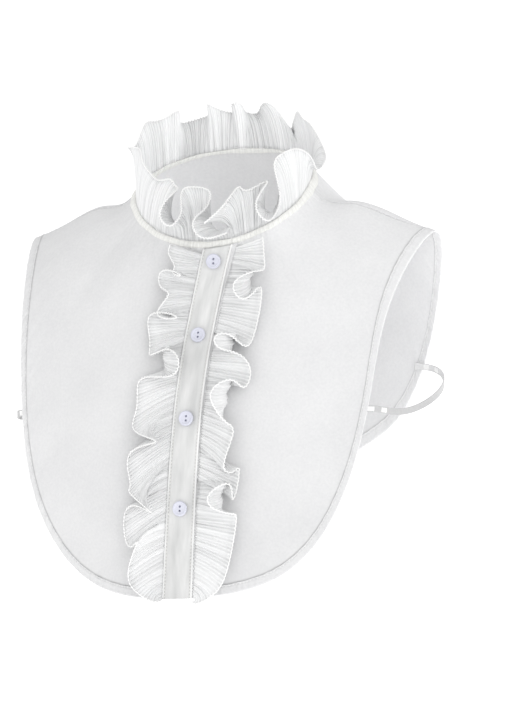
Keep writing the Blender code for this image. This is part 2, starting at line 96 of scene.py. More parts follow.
def section_net():
    """The sections' points all round. The neck seam is an ellipse that tilts with the turn, and the right
    side mirrors the left."""
    turns = np.array([row[0] for row in SECTIONS], float)
    points = np.array([[(0, 0, 0), *row[1:]] for row in SECTIONS], float) * MM
    side = np.sin(np.radians(turns))
    back = -np.cos(np.radians(turns))
    rise = NECK_TILT * back + NECK_SIDE_RISE * side**2
    points[:, 0] = np.stack([NECK_HALF_WIDTH * side, NECK_HALF_DEPTH * back, rise], axis=1)
    points = np.concatenate([points[:0:-1] * np.array([-1.0, 1.0, 1.0]), points])
    turns = np.concatenate([-turns[:0:-1], turns])
    sway = np.maximum(np.cos(np.radians(turns)), 0)[:, None] * (1 - np.array(SECTION_REACH)) ** 2
    points[:, :, 0] += NECK_FRONT_SWAY * sway
    turns = np.concatenate([turns[-4:-1] - 360, turns, turns[1:4] + 360])
    return turns, np.concatenate([points[-4:-1], points, points[1:4]])


NET_TURNS, NET_POINTS = section_net()


def body(turn, reach):
    """Points of the worn form: cubic splines round the neck by turn, and down from seam (0) to edge (1)."""
    turn, reach = np.broadcast_arrays(np.asarray(turn, float), np.asarray(reach, float))
    by_turn = spline_weights(NET_TURNS, (turn.ravel() + 180) % 360 - 180)
    by_reach = spline_weights(SECTION_REACH, reach)
    lines = np.tensordot(by_turn, NET_POINTS, axes=1)
    points = (lines * by_reach[:, :, None]).sum(1)
    points[:, 2] += SHOULDER_LEAN * points[:, 0]
    return points.reshape(turn.shape + (3,))


def body_down(turn, reach, step=0.01):
    """The way down the form: from a little above each point to a little below it."""
    low = np.clip(np.asarray(reach, float) - step, 0, 1)
    high = np.clip(np.asarray(reach, float) + step, 0, 1)
    return unit(body(turn, high) - body(turn, low))


def body_normal(turn, reach, step=0.5):
    """The way out of the form: the way down crossed with the way round."""
    turn = np.asarray(turn, float)
    return unit(np.cross(body_down(turn, reach), body(turn + step, reach) - body(turn - step, reach)))


def lifted(turn, reach, lift):
    """Points of the form moved out along its normal by a lift."""
    return body(turn, reach) + body_normal(turn, reach) * np.asarray(lift)[..., None]


def way_along(points):
    """The summed length along a line of points, from 0 at the first."""
    return np.concatenate([[0], np.cumsum(np.linalg.norm(np.diff(points, axis=0), axis=1))])


EVERY_TURN = np.arange(-200.0, 561.0)
EVERY_LINE = body(EVERY_TURN[:, None], np.linspace(0, 1, 41))
EVERY_LENGTH = np.linalg.norm(np.diff(EVERY_LINE, axis=1), axis=2).sum(1)
NECK_WAY = way_along(EVERY_LINE[:, 0])
EDGE_WAY = way_along(EVERY_LINE[:, -1])


def section_length(turn):
    """How long the form is from neck seam to outer edge at a turn, looked up in steps of one degree."""
    return np.interp(turn, EVERY_TURN, EVERY_LENGTH)


def turn_at(x, reach, near_turn=18.0, steps=12):
    """The turn at which the front has this x, found by steps of a slope taken near the middle."""
    x, reach = np.broadcast_arrays(np.asarray(x, float), np.asarray(reach, float))
    slope = body(np.full(x.shape, near_turn), reach)[..., 0] / near_turn
    turn = x / slope
    for _ in range(steps):
        turn = turn + (x - body(turn, reach)[..., 0]) / slope
    return turn


# Panels
# Two fronts and a back of thin plain-woven cloth, matt and cool white. They're cut to the form, sewn
# together along the shoulders and gathered a little into the neck, so small puckers run down from the
# binding.
PANEL_WALL = 0.6 * MM
PANEL_TOP = 2.0 * MM
PANEL_FOOT = 7.5 * MM
PANEL_LIGHT = (0.80, 0.80, 0.804)
PANEL_DARK = (0.725, 0.726, 0.734)
HEM_WIDTH = 8.0 * MM
BINDING_WIDTH = 5.0 * MM
PLACKET_TOP_X = 19.5 * MM
PLACKET_HEM_X = 5.2 * MM
PLACKET_TURN = 3.2
OPENING_IN = 6.0 * MM
ROW_CLOSENESS = 0.11
PUCKERS = (
    # seam (0 neck, 1 outer edge), height, pitch, fade (mm)
    (0, 0.18, 3.1, 7),
    (0, 0.14, 7.3, 14),
    (1, 0.16, 5.5, 5),
    (1, 0.22, 17, 16),
)
SWELL_HEIGHT = 0.45 * MM
SWELL_MARGIN = 30 * MM
SEAM_DIP, SEAM_HALF, SEAM_SPREAD = 0.12 * MM, 1.1 * MM, 1.4
SEAM_PUCKER, SEAM_PITCH, SEAM_FADE = 0.13 * MM, 4.5 * MM, 4 * MM
HEM_SETTLE = 3 * MM
# Painted shade in a fine line where a panel meets its hem.
HEM_LINE_PAINTED_SHADE, HEM_LINE_HALF = 0.3, 0.9 * MM
# Painted light beside the arms and over the back's inner face, and painted shade inside the neck.
ARM_PLACE, ARM_SPREAD, INSIDE_PAINTED_LIGHT_BASE = 0.65, 0.28, 0.4
NECK_PAINTED_SHADE, NECK_PAINTED_SHADE_FADE = 0.7, 45 * MM
# The height over which the painted light level of panels and hems changes.
PAINTED_LIGHT_HEIGHT = 300 * MM
CREASES = (
    # from turn, down; to turn, down; width, depth (mm): soft troughs (depth below 0) and ridges
    (-62, 12, -52, 95, 9, -0.9),
    (-48, 10, -36, 120, 12, 0.8),
    (-80, 8, -74, 60, 8, 0.7),
    (-30, 150, -44, 215, 14, -0.8),
    (-22, 60, -30, 200, 16, 0.9),
    (34, 12, 30, 110, 11, -0.9),
    (52, 10, 47, 90, 10, 0.8),
    (68, 8, 62, 70, 8, -0.7),
    (26, 120, 40, 210, 15, 0.9),
    (46, 130, 34, 225, 13, -0.7),
    (120, 10, 126, 100, 11, -0.8),
    (140, 12, 146, 140, 13, 0.9),
    (163, 14, 160, 170, 14, -0.8),
    (196, 12, 200, 160, 14, 0.8),
    (222, 12, 216, 130, 12, -0.9),
    (240, 10, 236, 95, 10, 0.8),
    (172, 120, 188, 215, 16, 0.8),
)


def bell(off, width):
    """1 in the middle, fading on both sides: e to the power of minus the square of off over width."""
    return np.exp(-((off / width) ** 2))


def wave(way, pitch, seed):
    """An uneven wave, -1 to 1: a sine of the pitch whose phase wanders with two slower sines from seeded
    starts."""
    start = np.random.default_rng(seed).uniform(0, 2 * np.pi, 3)
    turns = 2 * np.pi * np.asarray(way) / pitch
    wander = 1.3 * np.sin(turns / 4.7 + start[0]) + 0.8 * np.sin(turns / 2.3 + start[1])
    return np.sin(turns + wander + start[2])


def waves(way, rows, seed):
    """A sum of uneven waves. The rows give heights and pitches in mm, and the seed rises by one a row."""
    return sum(height * wave(way, pitch * MM, seed + number) for number, (height, pitch) in enumerate(rows))


def broad_swell(across, down, seed):
    """Broad unevenness of hung cloth, about -1 to 1: five seeded sines of 55 to 150 mm, each its own way."""
    pick = np.random.default_rng(seed)
    total = 0.0
    for _ in range(5):
        length = pick.uniform(0.055, 0.15)
        heading, start = pick.uniform(0, np.pi), pick.uniform(0, 2 * np.pi)
        way = across * np.cos(heading) + down * np.sin(heading)
        total = total + np.sin(2 * np.pi * way / length + start)
    return total / 3


def crease_lift(across, down, from_turn, from_down, to_turn, to_down, width, depth):
    """One crease: a bell across the line between two places on the cloth, fading towards both ends."""
    first = np.array([np.interp(from_turn, EVERY_TURN, NECK_WAY) * 2, from_down * MM])
    last = np.array([np.interp(to_turn, EVERY_TURN, NECK_WAY) * 2, to_down * MM])
    line = last - first
    share = ((across - first[0]) * line[0] + (down - first[1]) * line[1]) / (line @ line)
    off = ((across - first[0]) * line[1] - (down - first[1]) * line[0]) / np.sqrt(line @ line)
    fade = np.exp(-(((share - 0.5) / 0.42) ** 4))
    return depth * MM * bell(off, width * MM) * fade


def put_mesh(name, points, corners, totals, paint):
    """A smooth mesh from points, the points' numbers round every face, and each face's count of corners."""
    mesh = bpy.data.meshes.new(name)
    mesh.vertices.add(points.size // 3)
    mesh.vertices.foreach_set("co", points.reshape(-1).astype(np.float32))
    mesh.loops.add(len(corners))
    mesh.loops.foreach_set("vertex_index", corners.astype(np.int32))
    mesh.polygons.add(len(totals))
    starts = np.concatenate([[0], np.cumsum(totals)[:-1]])
    mesh.polygons.foreach_set("loop_start", starts.astype(np.int32))
    mesh.update(calc_edges=True)
    mesh.shade_smooth()
    mesh.materials.append(paint)
    piece = bpy.data.objects.new(name, mesh)
    bpy.context.scene.collection.objects.link(piece)
    return piece


def lay_mesh(name, points, paint, shade=1.0, round_across=False):
    """A surface of quads through a grid of points, along by across. A closed one joins its last line across
    to its first and gets a flat end at both ends. UV is the way across and along in metres, and shade is the
    painted light and shade on the cloth's colour at each point."""
    along, across = points.shape[:2]
    first = np.arange(along - 1)[:, None]
    second = np.arange(across if round_across else across - 1)[None, :]
    first, second = np.broadcast_arrays(first, second)
    corner_along = np.stack([first, first + 1, first + 1, first], axis=-1).reshape(-1)
    corner_across = np.stack([second, second, second + 1, second + 1], axis=-1).reshape(-1)
    ring = np.concatenate([points, points[:, :1]], axis=1)
    step_across = np.linalg.norm(np.diff(ring, axis=1), axis=2)
    step_along = np.linalg.norm(np.diff(ring, axis=0), axis=2)
    u = np.concatenate([np.zeros((along, 1)), np.cumsum(step_across, axis=1)], axis=1)
    v = np.concatenate([np.zeros((1, across + 1)), np.cumsum(step_along, axis=0)])
    corner_uv = np.stack([u, v], axis=-1)[corner_along, corner_across]
    corners = corner_along * across + corner_across % across
    totals = np.full(len(corners) // 4, 4)
    if round_across:
        ends = np.concatenate([np.arange(across), np.arange(across)[::-1] + (along - 1) * across])
        corners = np.concatenate([corners, ends])
        corner_uv = np.concatenate([corner_uv, np.zeros((2 * across, 2))])
        totals = np.concatenate([totals, [across, across]])
    piece = put_mesh(name, points, corners, totals, paint)
    mesh = piece.data
    mesh.uv_layers.new(name="cloth").data.foreach_set("uv", corner_uv.reshape(-1).astype(np.float32))
    tone = np.broadcast_to(shade, (along, across)).reshape(-1).astype(np.float32)
    mesh.attributes.new("shade", "FLOAT", "POINT").data.foreach_set("value", tone)
    mesh.validate()
    return piece


def give_wall(piece, wall):
    """Gives a thin sheet its thickness, half to each side."""
    shell = piece.modifiers.new("wall", "SOLIDIFY")
    shell.thickness = wall
    shell.offset = 0.0


def settle(piece, slot, *nodes):
    """Says what a piece rides on and which nodes it stands for. The slot is not used."""
    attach(piece, "root")
    if nodes:
        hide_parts(*nodes)


def wire(tree, source, target):
    """Joins two sockets."""
    tree.links.new(source, target)


def maths(tree, operation, first, second=None):
    """A Math node on one or two sockets or numbers; gives its output."""
    node = tree.nodes.new("ShaderNodeMath")
    node.operation = operation
    for socket, value in zip(node.inputs, (first, second)):
        if isinstance(value, bpy.types.NodeSocket):
            wire(tree, value, socket)
        elif value is not None:
            socket.default_value = value
    return node.outputs[0]


def grain(tree, scale, detail=2.0, roughness=0.5, stretch=None):
    """Noise on Object coordinates, or on the way across and along where it's stretched; gives its value."""
    place = tree.nodes.new("ShaderNodeTexCoord")
    noise = tree.nodes.new("ShaderNodeTexNoise")
    noise.inputs["Scale"].default_value = scale
    noise.inputs["Detail"].default_value = detail
    noise.inputs["Roughness"].default_value = roughness
    if stretch is None:
        wire(tree, place.outputs["Object"], noise.inputs["Vector"])
        return noise.outputs["Fac"]
    stretched = tree.nodes.new("ShaderNodeMapping")
    stretched.inputs["Scale"].default_value = stretch
    wire(tree, place.outputs["UV"], stretched.inputs["Vector"])
    wire(tree, stretched.outputs[0], noise.inputs["Vector"])
    return noise.outputs["Fac"]


def two_tones(tree, value, dark, light, low=0.0, high=1.0):
    """A colour that goes from dark to light as a value goes from low to high."""
    ramp = tree.nodes.new("ShaderNodeValToRGB")
    for element, place, colour in zip(ramp.color_ramp.elements, (low, high), (dark, light)):
        element.position = place
        element.color = (*colour, 1)
    wire(tree, value, ramp.inputs[0])
    return ramp.outputs[0]


def raise_bump(tree, shader, height, strength, distance):
    """Raises the look of a surface by a height."""
    relief = tree.nodes.new("ShaderNodeBump")
    relief.inputs["Strength"].default_value = strength
    relief.inputs["Distance"].default_value = distance
    wire(tree, height, relief.inputs["Height"])
    wire(tree, relief.outputs[0], shader.inputs["Normal"])


def new_paint(name, roughness, specular=0.5, sheen=0.0):
    """A plain paint; gives it, its node tree and its shader."""
    paint = bpy.data.materials.new(name)
    paint.use_nodes = True
    shader = paint.node_tree.nodes["Principled BSDF"]
    shader.inputs["Roughness"].default_value = roughness
    shader.inputs["Specular IOR Level"].default_value = specular
    shader.inputs["Sheen Weight"].default_value = sheen
    return paint, paint.node_tree, shader


def toned(tree, colour):
    """A colour times the painted light and shade that its mesh holds at each point."""
    tone = tree.nodes.new("ShaderNodeAttribute")
    tone.attribute_name = "shade"
    scale = tree.nodes.new("ShaderNodeVectorMath")
    scale.operation = "SCALE"
    wire(tree, colour, scale.inputs[0])
    wire(tree, tone.outputs["Fac"], scale.inputs["Scale"])
    return scale.outputs[0]


def weave_group():
    """Plain weave. Height is two crossed sets of threads, from the sines of the way across and along, with
    slubby noise. Mottle is broad noise with a fine grain in it."""
    group = bpy.data.node_groups.new("woven_cloth", "ShaderNodeTree")
    for label in ("Pitch", "Slub"):
        group.interface.new_socket(label, in_out="INPUT", socket_type="NodeSocketFloat")
    for label in ("Height", "Mottle"):
        group.interface.new_socket(label, in_out="OUTPUT", socket_type="NodeSocketFloat")
    given = group.nodes.new("NodeGroupInput")
    told = group.nodes.new("NodeGroupOutput")
    place = group.nodes.new("ShaderNodeTexCoord")
    split = group.nodes.new("ShaderNodeSeparateXYZ")
    wire(group, place.outputs["UV"], split.inputs[0])
    rate = maths(group, "DIVIDE", 2 * np.pi, given.outputs["Pitch"])
    warp = maths(group, "SINE", maths(group, "MULTIPLY", split.outputs[0], rate))
    weft = maths(group, "SINE", maths(group, "MULTIPLY", split.outputs[1], rate))
    threads = maths(group, "MULTIPLY", maths(group, "MULTIPLY", warp, weft), 0.5)
    slubs = grain(group, scale=620.0, detail=3.0, roughness=0.7)
    slubs = maths(group, "MULTIPLY", slubs, given.outputs["Slub"])
    wire(group, maths(group, "ADD", threads, slubs), told.inputs["Height"])
    broad = maths(group, "MULTIPLY", grain(group, scale=26.0, detail=4.0), 0.45)
    fine = maths(group, "MULTIPLY", grain(group, scale=520.0), 0.55)
    wire(group, maths(group, "ADD", broad, fine), told.inputs["Mottle"])
    return group


WEAVE = weave_group()


def cloth_paint(name, light, dark, roughness, sheen, pitch, slub, bump):
    """A matt woven cloth: the mottle drifts its colour between two tones, and the weave raises its bump."""
    paint, tree, shader = new_paint(name, roughness, 0.25, sheen)
    shader.inputs["Sheen Roughness"].default_value = 0.5
    cloth = tree.nodes.new("ShaderNodeGroup")
    cloth.node_tree = WEAVE
    cloth.inputs["Pitch"].default_value = pitch
    cloth.inputs["Slub"].default_value = slub
    colour = two_tones(tree, cloth.outputs["Mottle"], dark, light, 0.3, 0.7)
    wire(tree, toned(tree, colour), shader.inputs["Base Color"])
    raise_bump(tree, shader, cloth.outputs["Height"], bump, 0.15 * MM)
    return paint


def placket_x(reach):
    """The x of the front opening's middle line, which swings back to the middle on its way down."""
    return PLACKET_HEM_X + (PLACKET_TOP_X - PLACKET_HEM_X) * np.exp(-PLACKET_TURN * np.asarray(reach))


def make_panel(name, sides, columns, rows, seam_sides, seed, painted_light_and_shade_inside, painted_light_level, fall):
    """One panel: a grid between two sides, closer set near neck and hem, lifted by puckers, swell and
    creases. Its colour carries painted light and shade: a fine line of painted shade at the hem, and
    painted light that may rise beside the arms, give way to painted shade inside the neck and change with
    height."""
    share = np.linspace(0, 1, columns)[None, :]
    down = np.linspace(0, 1, rows)[:, None]
    down = down - ROW_CLOSENESS * np.sin(2 * np.pi * down)
    turn = sides[0](down) * (1 - share) + sides[1](down) * share
    length = section_length(turn)
    reach = PANEL_TOP / length * (1 - down) + (1 - PANEL_FOOT / length) * down
    way_down = reach * length
    neck_way = np.interp(turn, EVERY_TURN, NECK_WAY)
    ways = (neck_way, np.interp(turn, EVERY_TURN, EDGE_WAY))
    below = np.maximum(way_down - BINDING_WIDTH, 0)
    above = np.maximum(length - way_down - HEM_WIDTH, 0)
    lift = 0.0
    for number, (seam, height, pitch, fade) in enumerate(PUCKERS):
        fading = np.exp(-(below, above)[seam] / (fade * MM))
        lift = lift + height * MM * wave(ways[seam], pitch * MM, seed + number) * fading
    calm = np.clip(below / SWELL_MARGIN, 0, 1) * np.clip(above / SWELL_MARGIN, 0, 1)
    across = 2 * neck_way
    lift = lift + SWELL_HEIGHT * calm * broad_swell(across, way_down, seed + 4)
    for crease in CREASES:
        lift = lift + crease_lift(across, way_down, *crease)
    for column in seam_sides:
        off = np.abs(neck_way - neck_way[:, column : column + 1 or None]) * (1 + SEAM_SPREAD * reach)
        lift = lift - SEAM_DIP * bell(off, SEAM_HALF)
        lift = lift + SEAM_PUCKER * wave(way_down, SEAM_PITCH, seed + 5) * np.exp(-off / SEAM_FADE)
    points = lifted(turn, reach, lift * np.clip(above / HEM_SETTLE, 0, 1))
    # Painted light beside the arms, painted shade inside the neck and at the hem, and a painted light level by
    # height.
    arm_painted_light = bell(np.abs(2 * share - 1) - ARM_PLACE, ARM_SPREAD)
    tone = 1 + painted_light_and_shade_inside * (INSIDE_PAINTED_LIGHT_BASE + arm_painted_light - NECK_PAINTED_SHADE * np.exp(-below / NECK_PAINTED_SHADE_FADE))
    tone = tone - HEM_LINE_PAINTED_SHADE * bell(above, HEM_LINE_HALF)
    tone = tone * (painted_light_level + fall * points[..., 2] / PAINTED_LIGHT_HEIGHT)
    piece = lay_mesh(name, points, panel_paint, tone)
    give_wall(piece, PANEL_WALL)
    settle(piece, "panel_cloth", name.replace("_cloth", ""))
    return piece


panel_paint = cloth_paint("panel_cloth", PANEL_LIGHT, PANEL_DARK, 0.85, 0.1, 0.62 * MM, 0.9, 0.5)
# The last three numbers paint light and shade: inside by the arms and neck, the level, and its fall with
# height.
front_left = make_panel(
    "front_panel_left_cloth",
    (lambda reach: turn_at(placket_x(reach) - OPENING_IN, reach), lambda reach: np.full(reach.shape, 89.95)),
    150, 110, (-1,), 11, 0.0, 1.1, 0.2,
)
# This front is painted darker than the one on the wearer's left, which gets more painted light.
front_right = make_panel(
    "front_panel_right_cloth",
    (
        lambda reach: np.full(reach.shape, -89.95),
        lambda reach: turn_at(placket_x(reach) - OPENING_IN - MM, reach),
    ),
    150, 110, (0,), 21, 0.0, 0.985, 0.03,
)
back = make_panel(
    "back_panel_cloth",
    (lambda reach: np.full(reach.shape, 90.05), lambda reach: np.full(reach.shape, 269.95)),
    250, 104, (0, -1), 31, 0.16, 1.0, 0.0,
)

# Hem
# The outer edge is the panel's own cloth, turned under 8 mm and topstitched near the turned edge, so the
# turn stands proud on both faces, with a groove at the stitches and a soft roll along the fold.
HEM_FACE = (
    # up from the outer edge, out (mm), over one face
    (0.15, 0.5), (0.7, 0.82), (1.5, 0.74), (2.6, 0.58), (4.2, 0.6), (5.4, 0.62),
    (6.2, 0.5), (6.6, 0.36), (7.0, 0.6), (7.5, 0.84), (7.9, 0.6),
)
HEM_PROFILE = ((0.0, 0.0), *HEM_FACE, (8.0, 0.0), *((up, -out) for up, out in HEM_FACE[::-1]))
HEM_STITCH_UP = 6.6 * MM
HEM_STITCH_OUT = 0.42 * MM
HEM_LIP_UP = 7.4 * MM
HEM_FULLNESS = ((0.16, 3.4), (0.1, 9))
HEM_SWAY = ((0.16, 17), (0.1, 5.5))
HEM_WIDENING = ((0.02, 11),)
THREAD_COLOUR = (0.9, 0.9, 0.89)


def make_hem(name, first_turn, last_turn, columns, seed, painted_light_level, fall):
    """The turned strip: the profile carried along the outer edge, fuller and thinner as the stitches pull
    it. Its colour has painted shade at the stitches and the inner edge, a painted highlight along the fold
    and the lip, and a painted light level that changes with height."""
    turn = np.linspace(first_turn, last_turn, columns)[:, None]
    up, out = np.array(HEM_PROFILE).T[:, None, :] * MM
    edge_way = np.interp(turn, EVERY_TURN, EDGE_WAY)
    fullness = 1 + waves(edge_way, HEM_FULLNESS, seed)
    sway = MM * waves(edge_way, HEM_SWAY, seed + 2)
    reach = 1 - up * (1 + waves(edge_way, HEM_WIDENING, seed + 4)) / section_length(turn)
    points = lifted(np.broadcast_to(turn, reach.shape), reach, out * fullness + sway)
    # Painted shade in the stitch groove and at the inner edge, and a painted highlight on the fold and the lip.
    groove = 0.5 * bell(up - HEM_STITCH_UP, 0.4 * MM) + bell(up - HEM_WIDTH, 0.3 * MM)
    fold = bell(up, 1.2 * MM) + bell(up - HEM_LIP_UP, 0.35 * MM)
    tone = painted_light_level + fall * points[..., 2] / PAINTED_LIGHT_HEIGHT - 0.25 * groove + 0.14 * fold
    piece = lay_mesh(f"{name}_cloth", points, panel_paint, tone, round_across=True)
    settle(piece, "panel_cloth", name)


def even_line(points, pitch):
    """Places a pitch apart along a line of points, as fractional point numbers."""
    way = way_along(points)
    return np.interp(np.arange(pitch / 2, way[-1], pitch), way, np.arange(len(points)))


def along_line(values, places):
    """Values at fractional places in a row of values, by straight lines between neighbours."""
    low = np.clip(places.astype(int), 0, len(values) - 2)
    part = (places - low)[:, None]
    return values[low] * (1 - part) + values[low + 1] * part


def stitch_points(centre, along, out, length, radius):
    """Stitches as little rods: six points round, five rings along, thinner and lower towards both ends."""
    ring = np.linspace(-1, 1, 5)[None, :, None, None]
    angle = np.linspace(0, 2 * np.pi, 7)[:-1][None, None, :, None]
    side = np.cross(out, along)[:, None, None]
    out = out[:, None, None]
    thick = radius * np.sqrt(np.clip(1.04 - ring**2, 0, 1))
    middle = centre[:, None, None] + along[:, None, None] * ring * length / 2 - out * ring**2 * radius * 0.9
    return middle + thick * (np.cos(angle) * out + np.sin(angle) * side)


def make_rods(name, points, paint, slot):
    """One mesh of many closed rods, each a block of rings with a flat face at both ends."""
    count, rings, sides = points.shape[:3]
    ring, side = np.meshgrid(np.arange(rings - 1), np.arange(sides), indexing="ij")
    near = ring * sides
    after = (side + 1) % sides
    quads = np.stack([near + side, near + sides + side, near + sides + after, near + after], -1)
    start = np.arange(count)[:, None, None] * rings * sides
    quads = (quads.reshape(1, -1, 4) + start).reshape(-1)
    ends = np.stack([np.arange(sides), np.arange(sides)[::-1] + (rings - 1) * sides])
    ends = (ends[None] + start).reshape(-1)
    totals = np.concatenate([np.full(len(quads) // 4, 4), np.full(len(ends) // sides, sides)])
    settle(put_mesh(name, points, np.concatenate([quads, ends]), totals, paint), slot)


def stitch_line(line, out, pitch, length, radius):
    """Stitches a pitch apart along a line that has a way out at each point."""
    places = even_line(line, pitch)
    along = unit(along_line(np.gradient(line, axis=0), places))
    outward = unit(along_line(out, places))
    return stitch_points(along_line(line, places), along, outward, length, radius)


def thread_paint(name, colour):
    """Spun thread: fine noise drifts its tone a little and raises its bump, with a slight sheen."""
    paint, tree, shader = new_paint(name, 0.6, sheen=0.3)
    fibre = grain(tree, scale=2500.0)
    dark = tuple(0.97 * c for c in colour)
    wire(tree, two_tones(tree, fibre, dark, colour), shader.inputs["Base Color"])
    raise_bump(tree, shader, fibre, 0.5, 0.05 * MM)
    return paint


thread = thread_paint("white_thread", THREAD_COLOUR)
OPENING_TURN = turn_at(placket_x(np.array([1.0])), np.array([1.0]))[0]
HEMS = (
    # node, first turn, last turn, columns, seed, painted light level at the neck's height, its fall over 300 mm
    ("edge_band_front_left", OPENING_TURN, 89.95, 420, 41, 1.09, 0.17),
    ("edge_band_front_right", -89.95, OPENING_TURN - 0.3, 420, 51, 1.0, 0.02),
    ("edge_band_back", 90.05, 269.95, 640, 61, 1.15, 0.0),
)
hem_stitches = []
for hem in HEMS:
    make_hem(*hem)
    hem_turn = np.linspace(hem[1], hem[2], 500)
    hem_reach = 1 - HEM_STITCH_UP / section_length(hem_turn)
    for face in (1, -1):
        hem_out = body_normal(hem_turn, hem_reach) * face
        hem_line = body(hem_turn, hem_reach) + hem_out * HEM_STITCH_OUT
        hem_stitches.append(stitch_line(hem_line, hem_out, 2.7 * MM, 2.1 * MM, 0.2 * MM))
make_rods("hem_stitches", np.concatenate(hem_stitches), thread, "panel_cloth")

# Neck binding
# A narrow ivory binding, 5 mm wide, covers the neck seam where the ruffle and the panels are gathered
# together. The gathers show through it as small upright ribs. It's sewn down near both its edges.
NECK_OPENING = 18.5
BINDING_PROFILE = (
    # down from the seam, out (mm), once round
    (-0.1, 0.0), (0.1, -0.7), (0.9, -1.0), (2.5, -1.05), (4.1, -1.0), (4.9, -0.7), (5.1, 0.0),
    (4.9, 0.7), (4.2, 1.05), (3.4, 1.2), (2.5, 1.3), (1.6, 1.25), (0.8, 1.1), (0.1, 0.7),
)
BINDING_RIBS = ((0.5, 1.9), (0.5, 3.7))
BINDING_SWELL = ((0.08, 14),)
BINDING_SLIP = ((0.25, 23),)
BINDING_STITCHES = (
    # down, out (mm)
    (4.3, 0.95),
    (0.7, 1.05),
)
BINDING_LIGHT = (0.94, 0.94, 0.915)
BINDING_DARK = (0.91, 0.91, 0.88)
binding_paint = cloth_paint("binding_cloth", BINDING_LIGHT, BINDING_DARK, 0.8, 0.1, 0.5 * MM, 0.6, 0.4)


def make_binding():
    """The binding: the profile carried round the neck seam, its height raised and sunk by uneven ribs."""
    turn = np.linspace(NECK_OPENING + 0.1, NECK_OPENING + 359.9, 1150)[:, None]
    down, out = np.array(BINDING_PROFILE).T[:, None, :] * MM
    neck_way = np.interp(turn, EVERY_TURN, NECK_WAY)
    rib = waves(neck_way, BINDING_RIBS, 71)
    swell = 1 + 0.22 * rib + waves(neck_way, BINDING_SWELL, 73)
    slip = MM * waves(neck_way, BINDING_SLIP, 74)
    reach = np.maximum(down + slip, 0) / section_length(turn)
    points = lifted(np.broadcast_to(turn, reach.shape), reach, out * swell)
    points[..., 2] -= np.minimum(down + slip, 0)
    # Painted light and shade on the ribs: their crests are painted lighter and the hollows between them darker.
    piece = lay_mesh("neck_binding_cloth", points, binding_paint, 0.96 + 0.06 * rib, round_across=True)
    settle(piece, "binding_cloth", "neck_binding")


make_binding()
binding_turn = np.linspace(NECK_OPENING + 1, NECK_OPENING + 359, 900)
binding_stitches = []
for binding_down, binding_lift in BINDING_STITCHES:
    binding_reach = binding_down * MM / section_length(binding_turn)
    binding_out = body_normal(binding_turn, binding_reach)
    binding_line = body(binding_turn, binding_reach) + binding_out * binding_lift * MM
    binding_stitches.append(stitch_line(binding_line, binding_out, 2.4 * MM, 1.8 * MM, 0.18 * MM))
ivory_thread = thread_paint("ivory_thread", (0.9, 0.9, 0.85))
make_rods("binding_stitches", np.concatenate(binding_stitches), ivory_thread, "binding_cloth")

# Neck ruffle
# A standing ruffle of thin pleated chiffon, gathered into the neck seam, with an overlocked rolled edge. Its
# fine pleats fan out from the seam, and the free edge swings in and out in uneven folds.
NECK_PITCH = 2.35 * MM
PLEAT_COLUMNS = 6
EDGE_SAMPLES = 3000
GATHER_DEPTH = 0.9 * MM
GATHER_PLEATS = 3.3
RUFFLE_WALL = 0.35 * MM
# How grey the pleats' valleys are painted: painted shade.
RUFFLE_VALLEY_PAINTED_SHADE = 0.83
NECK_ROOT_UP = 0.3 * MM
NECK_RUFFLE_STAND = 11.0 * MM
NECK_RUFFLE_ROWS = 17
NECK_PLEAT_DEPTH = 0.6 * MM
PHOTO_TURN = 22.0
RECESS_PAINTED_SHADE_REACH = 18 * MM
ROLL_RADIUS = 0.48 * MM
NECK_FOLDS = (
    # turn, rise, out, drift
    (19, 12, 28, -18),
    (23, 24, 20, -10),
    (28, 35, 6, -6),
    (32, 31, 8, -4),
    (38, 35, 6, 4),
    (43, 19, 26, -15),
    (46, 5, 30, -17),
    (49, 2, 26, -12),
    (53, 16, 14, -6),
    (60, 34, 6, -15),
    (67, 39, 5, -15),
    (75, 37, 4, -8),
    (82, 26, 6, 0),
    (90, 12, 10, -6),
    (97, 13, 13, -8),
    (103, 20, 10, -4),
    (111, 33, 0, 4),
    (118, 35, -4, 10),
    (125, 37, -4, 14),
    (133, 23, 2, 22),
    (139, 17, 8, 26),
    (146, 27, 4, 21),
    (154, 35, 1, 17),
    (161, 33, 4, 17),
    (168, 26, 13, 17),
    (174, 26, 16, 18),
    (179, 28, 12, 12),
    (184, 34, 2, 5),
    (189, 33, 4, 5),
    (193, 28, 10, 0),
    (199, 31, 8, 3),
    (205, 36, 2, 4),
    (209, 30, 10, -3),
    (214, 27, 16, -3),
    (220, 25, 18, 2),
    (225, 30, 8, 1),
    (229, 38, 0, 0),
    (235, 36, 4, 0),
    (243, 36, 8, 0),
    (250, 38, 8, 0),
    (258, 33, 6, 0),
    (266, 29, 8, -5),
    (272, 32, 9, -3),
    (280, 37, 2, -6),
    (287, 39, -3, 0),
    (294, 35, -3, 6),
    (303, 32, -3, 15),
    (313, 33, 0, 19),
    (321, 38, 0, 20),
    (327, 36, 3, 20),
    (331, 35, 7, 20),
    (335, 30, 20, 17),
    (338, 24, 28, 12),
    (341, 17, 31, 8),
    (344, 12, 31, 9),
    (347, 14, 27, 8),
    (350, 22, 21, 5),
    (352, 32, 14, -2),
    (354, 39, 8, -6),
    (357, 41, 4, -5),
    (360, 40, 4, 2),
    (363, 35, 7, 4),
    (365, 26, 16, 1),
    (367, 20, 25, -6),
    (370, 13, 33, -12),
    (372, 5, 34, -11),
    (375, 2, 32, -7),
    (378, 5, 24, 0),
)

def neck_ways(turn):
    """At each turn of the neck seam, the level way out and the way round."""
    angle = np.radians(turn)
    level = np.zeros_like(angle)
    out = unit(np.stack([np.sin(angle) / NECK_HALF_WIDTH, -np.cos(angle) / NECK_HALF_DEPTH, level], axis=1))
    return out, np.stack([-out[:, 1], out[:, 0], level], axis=1)


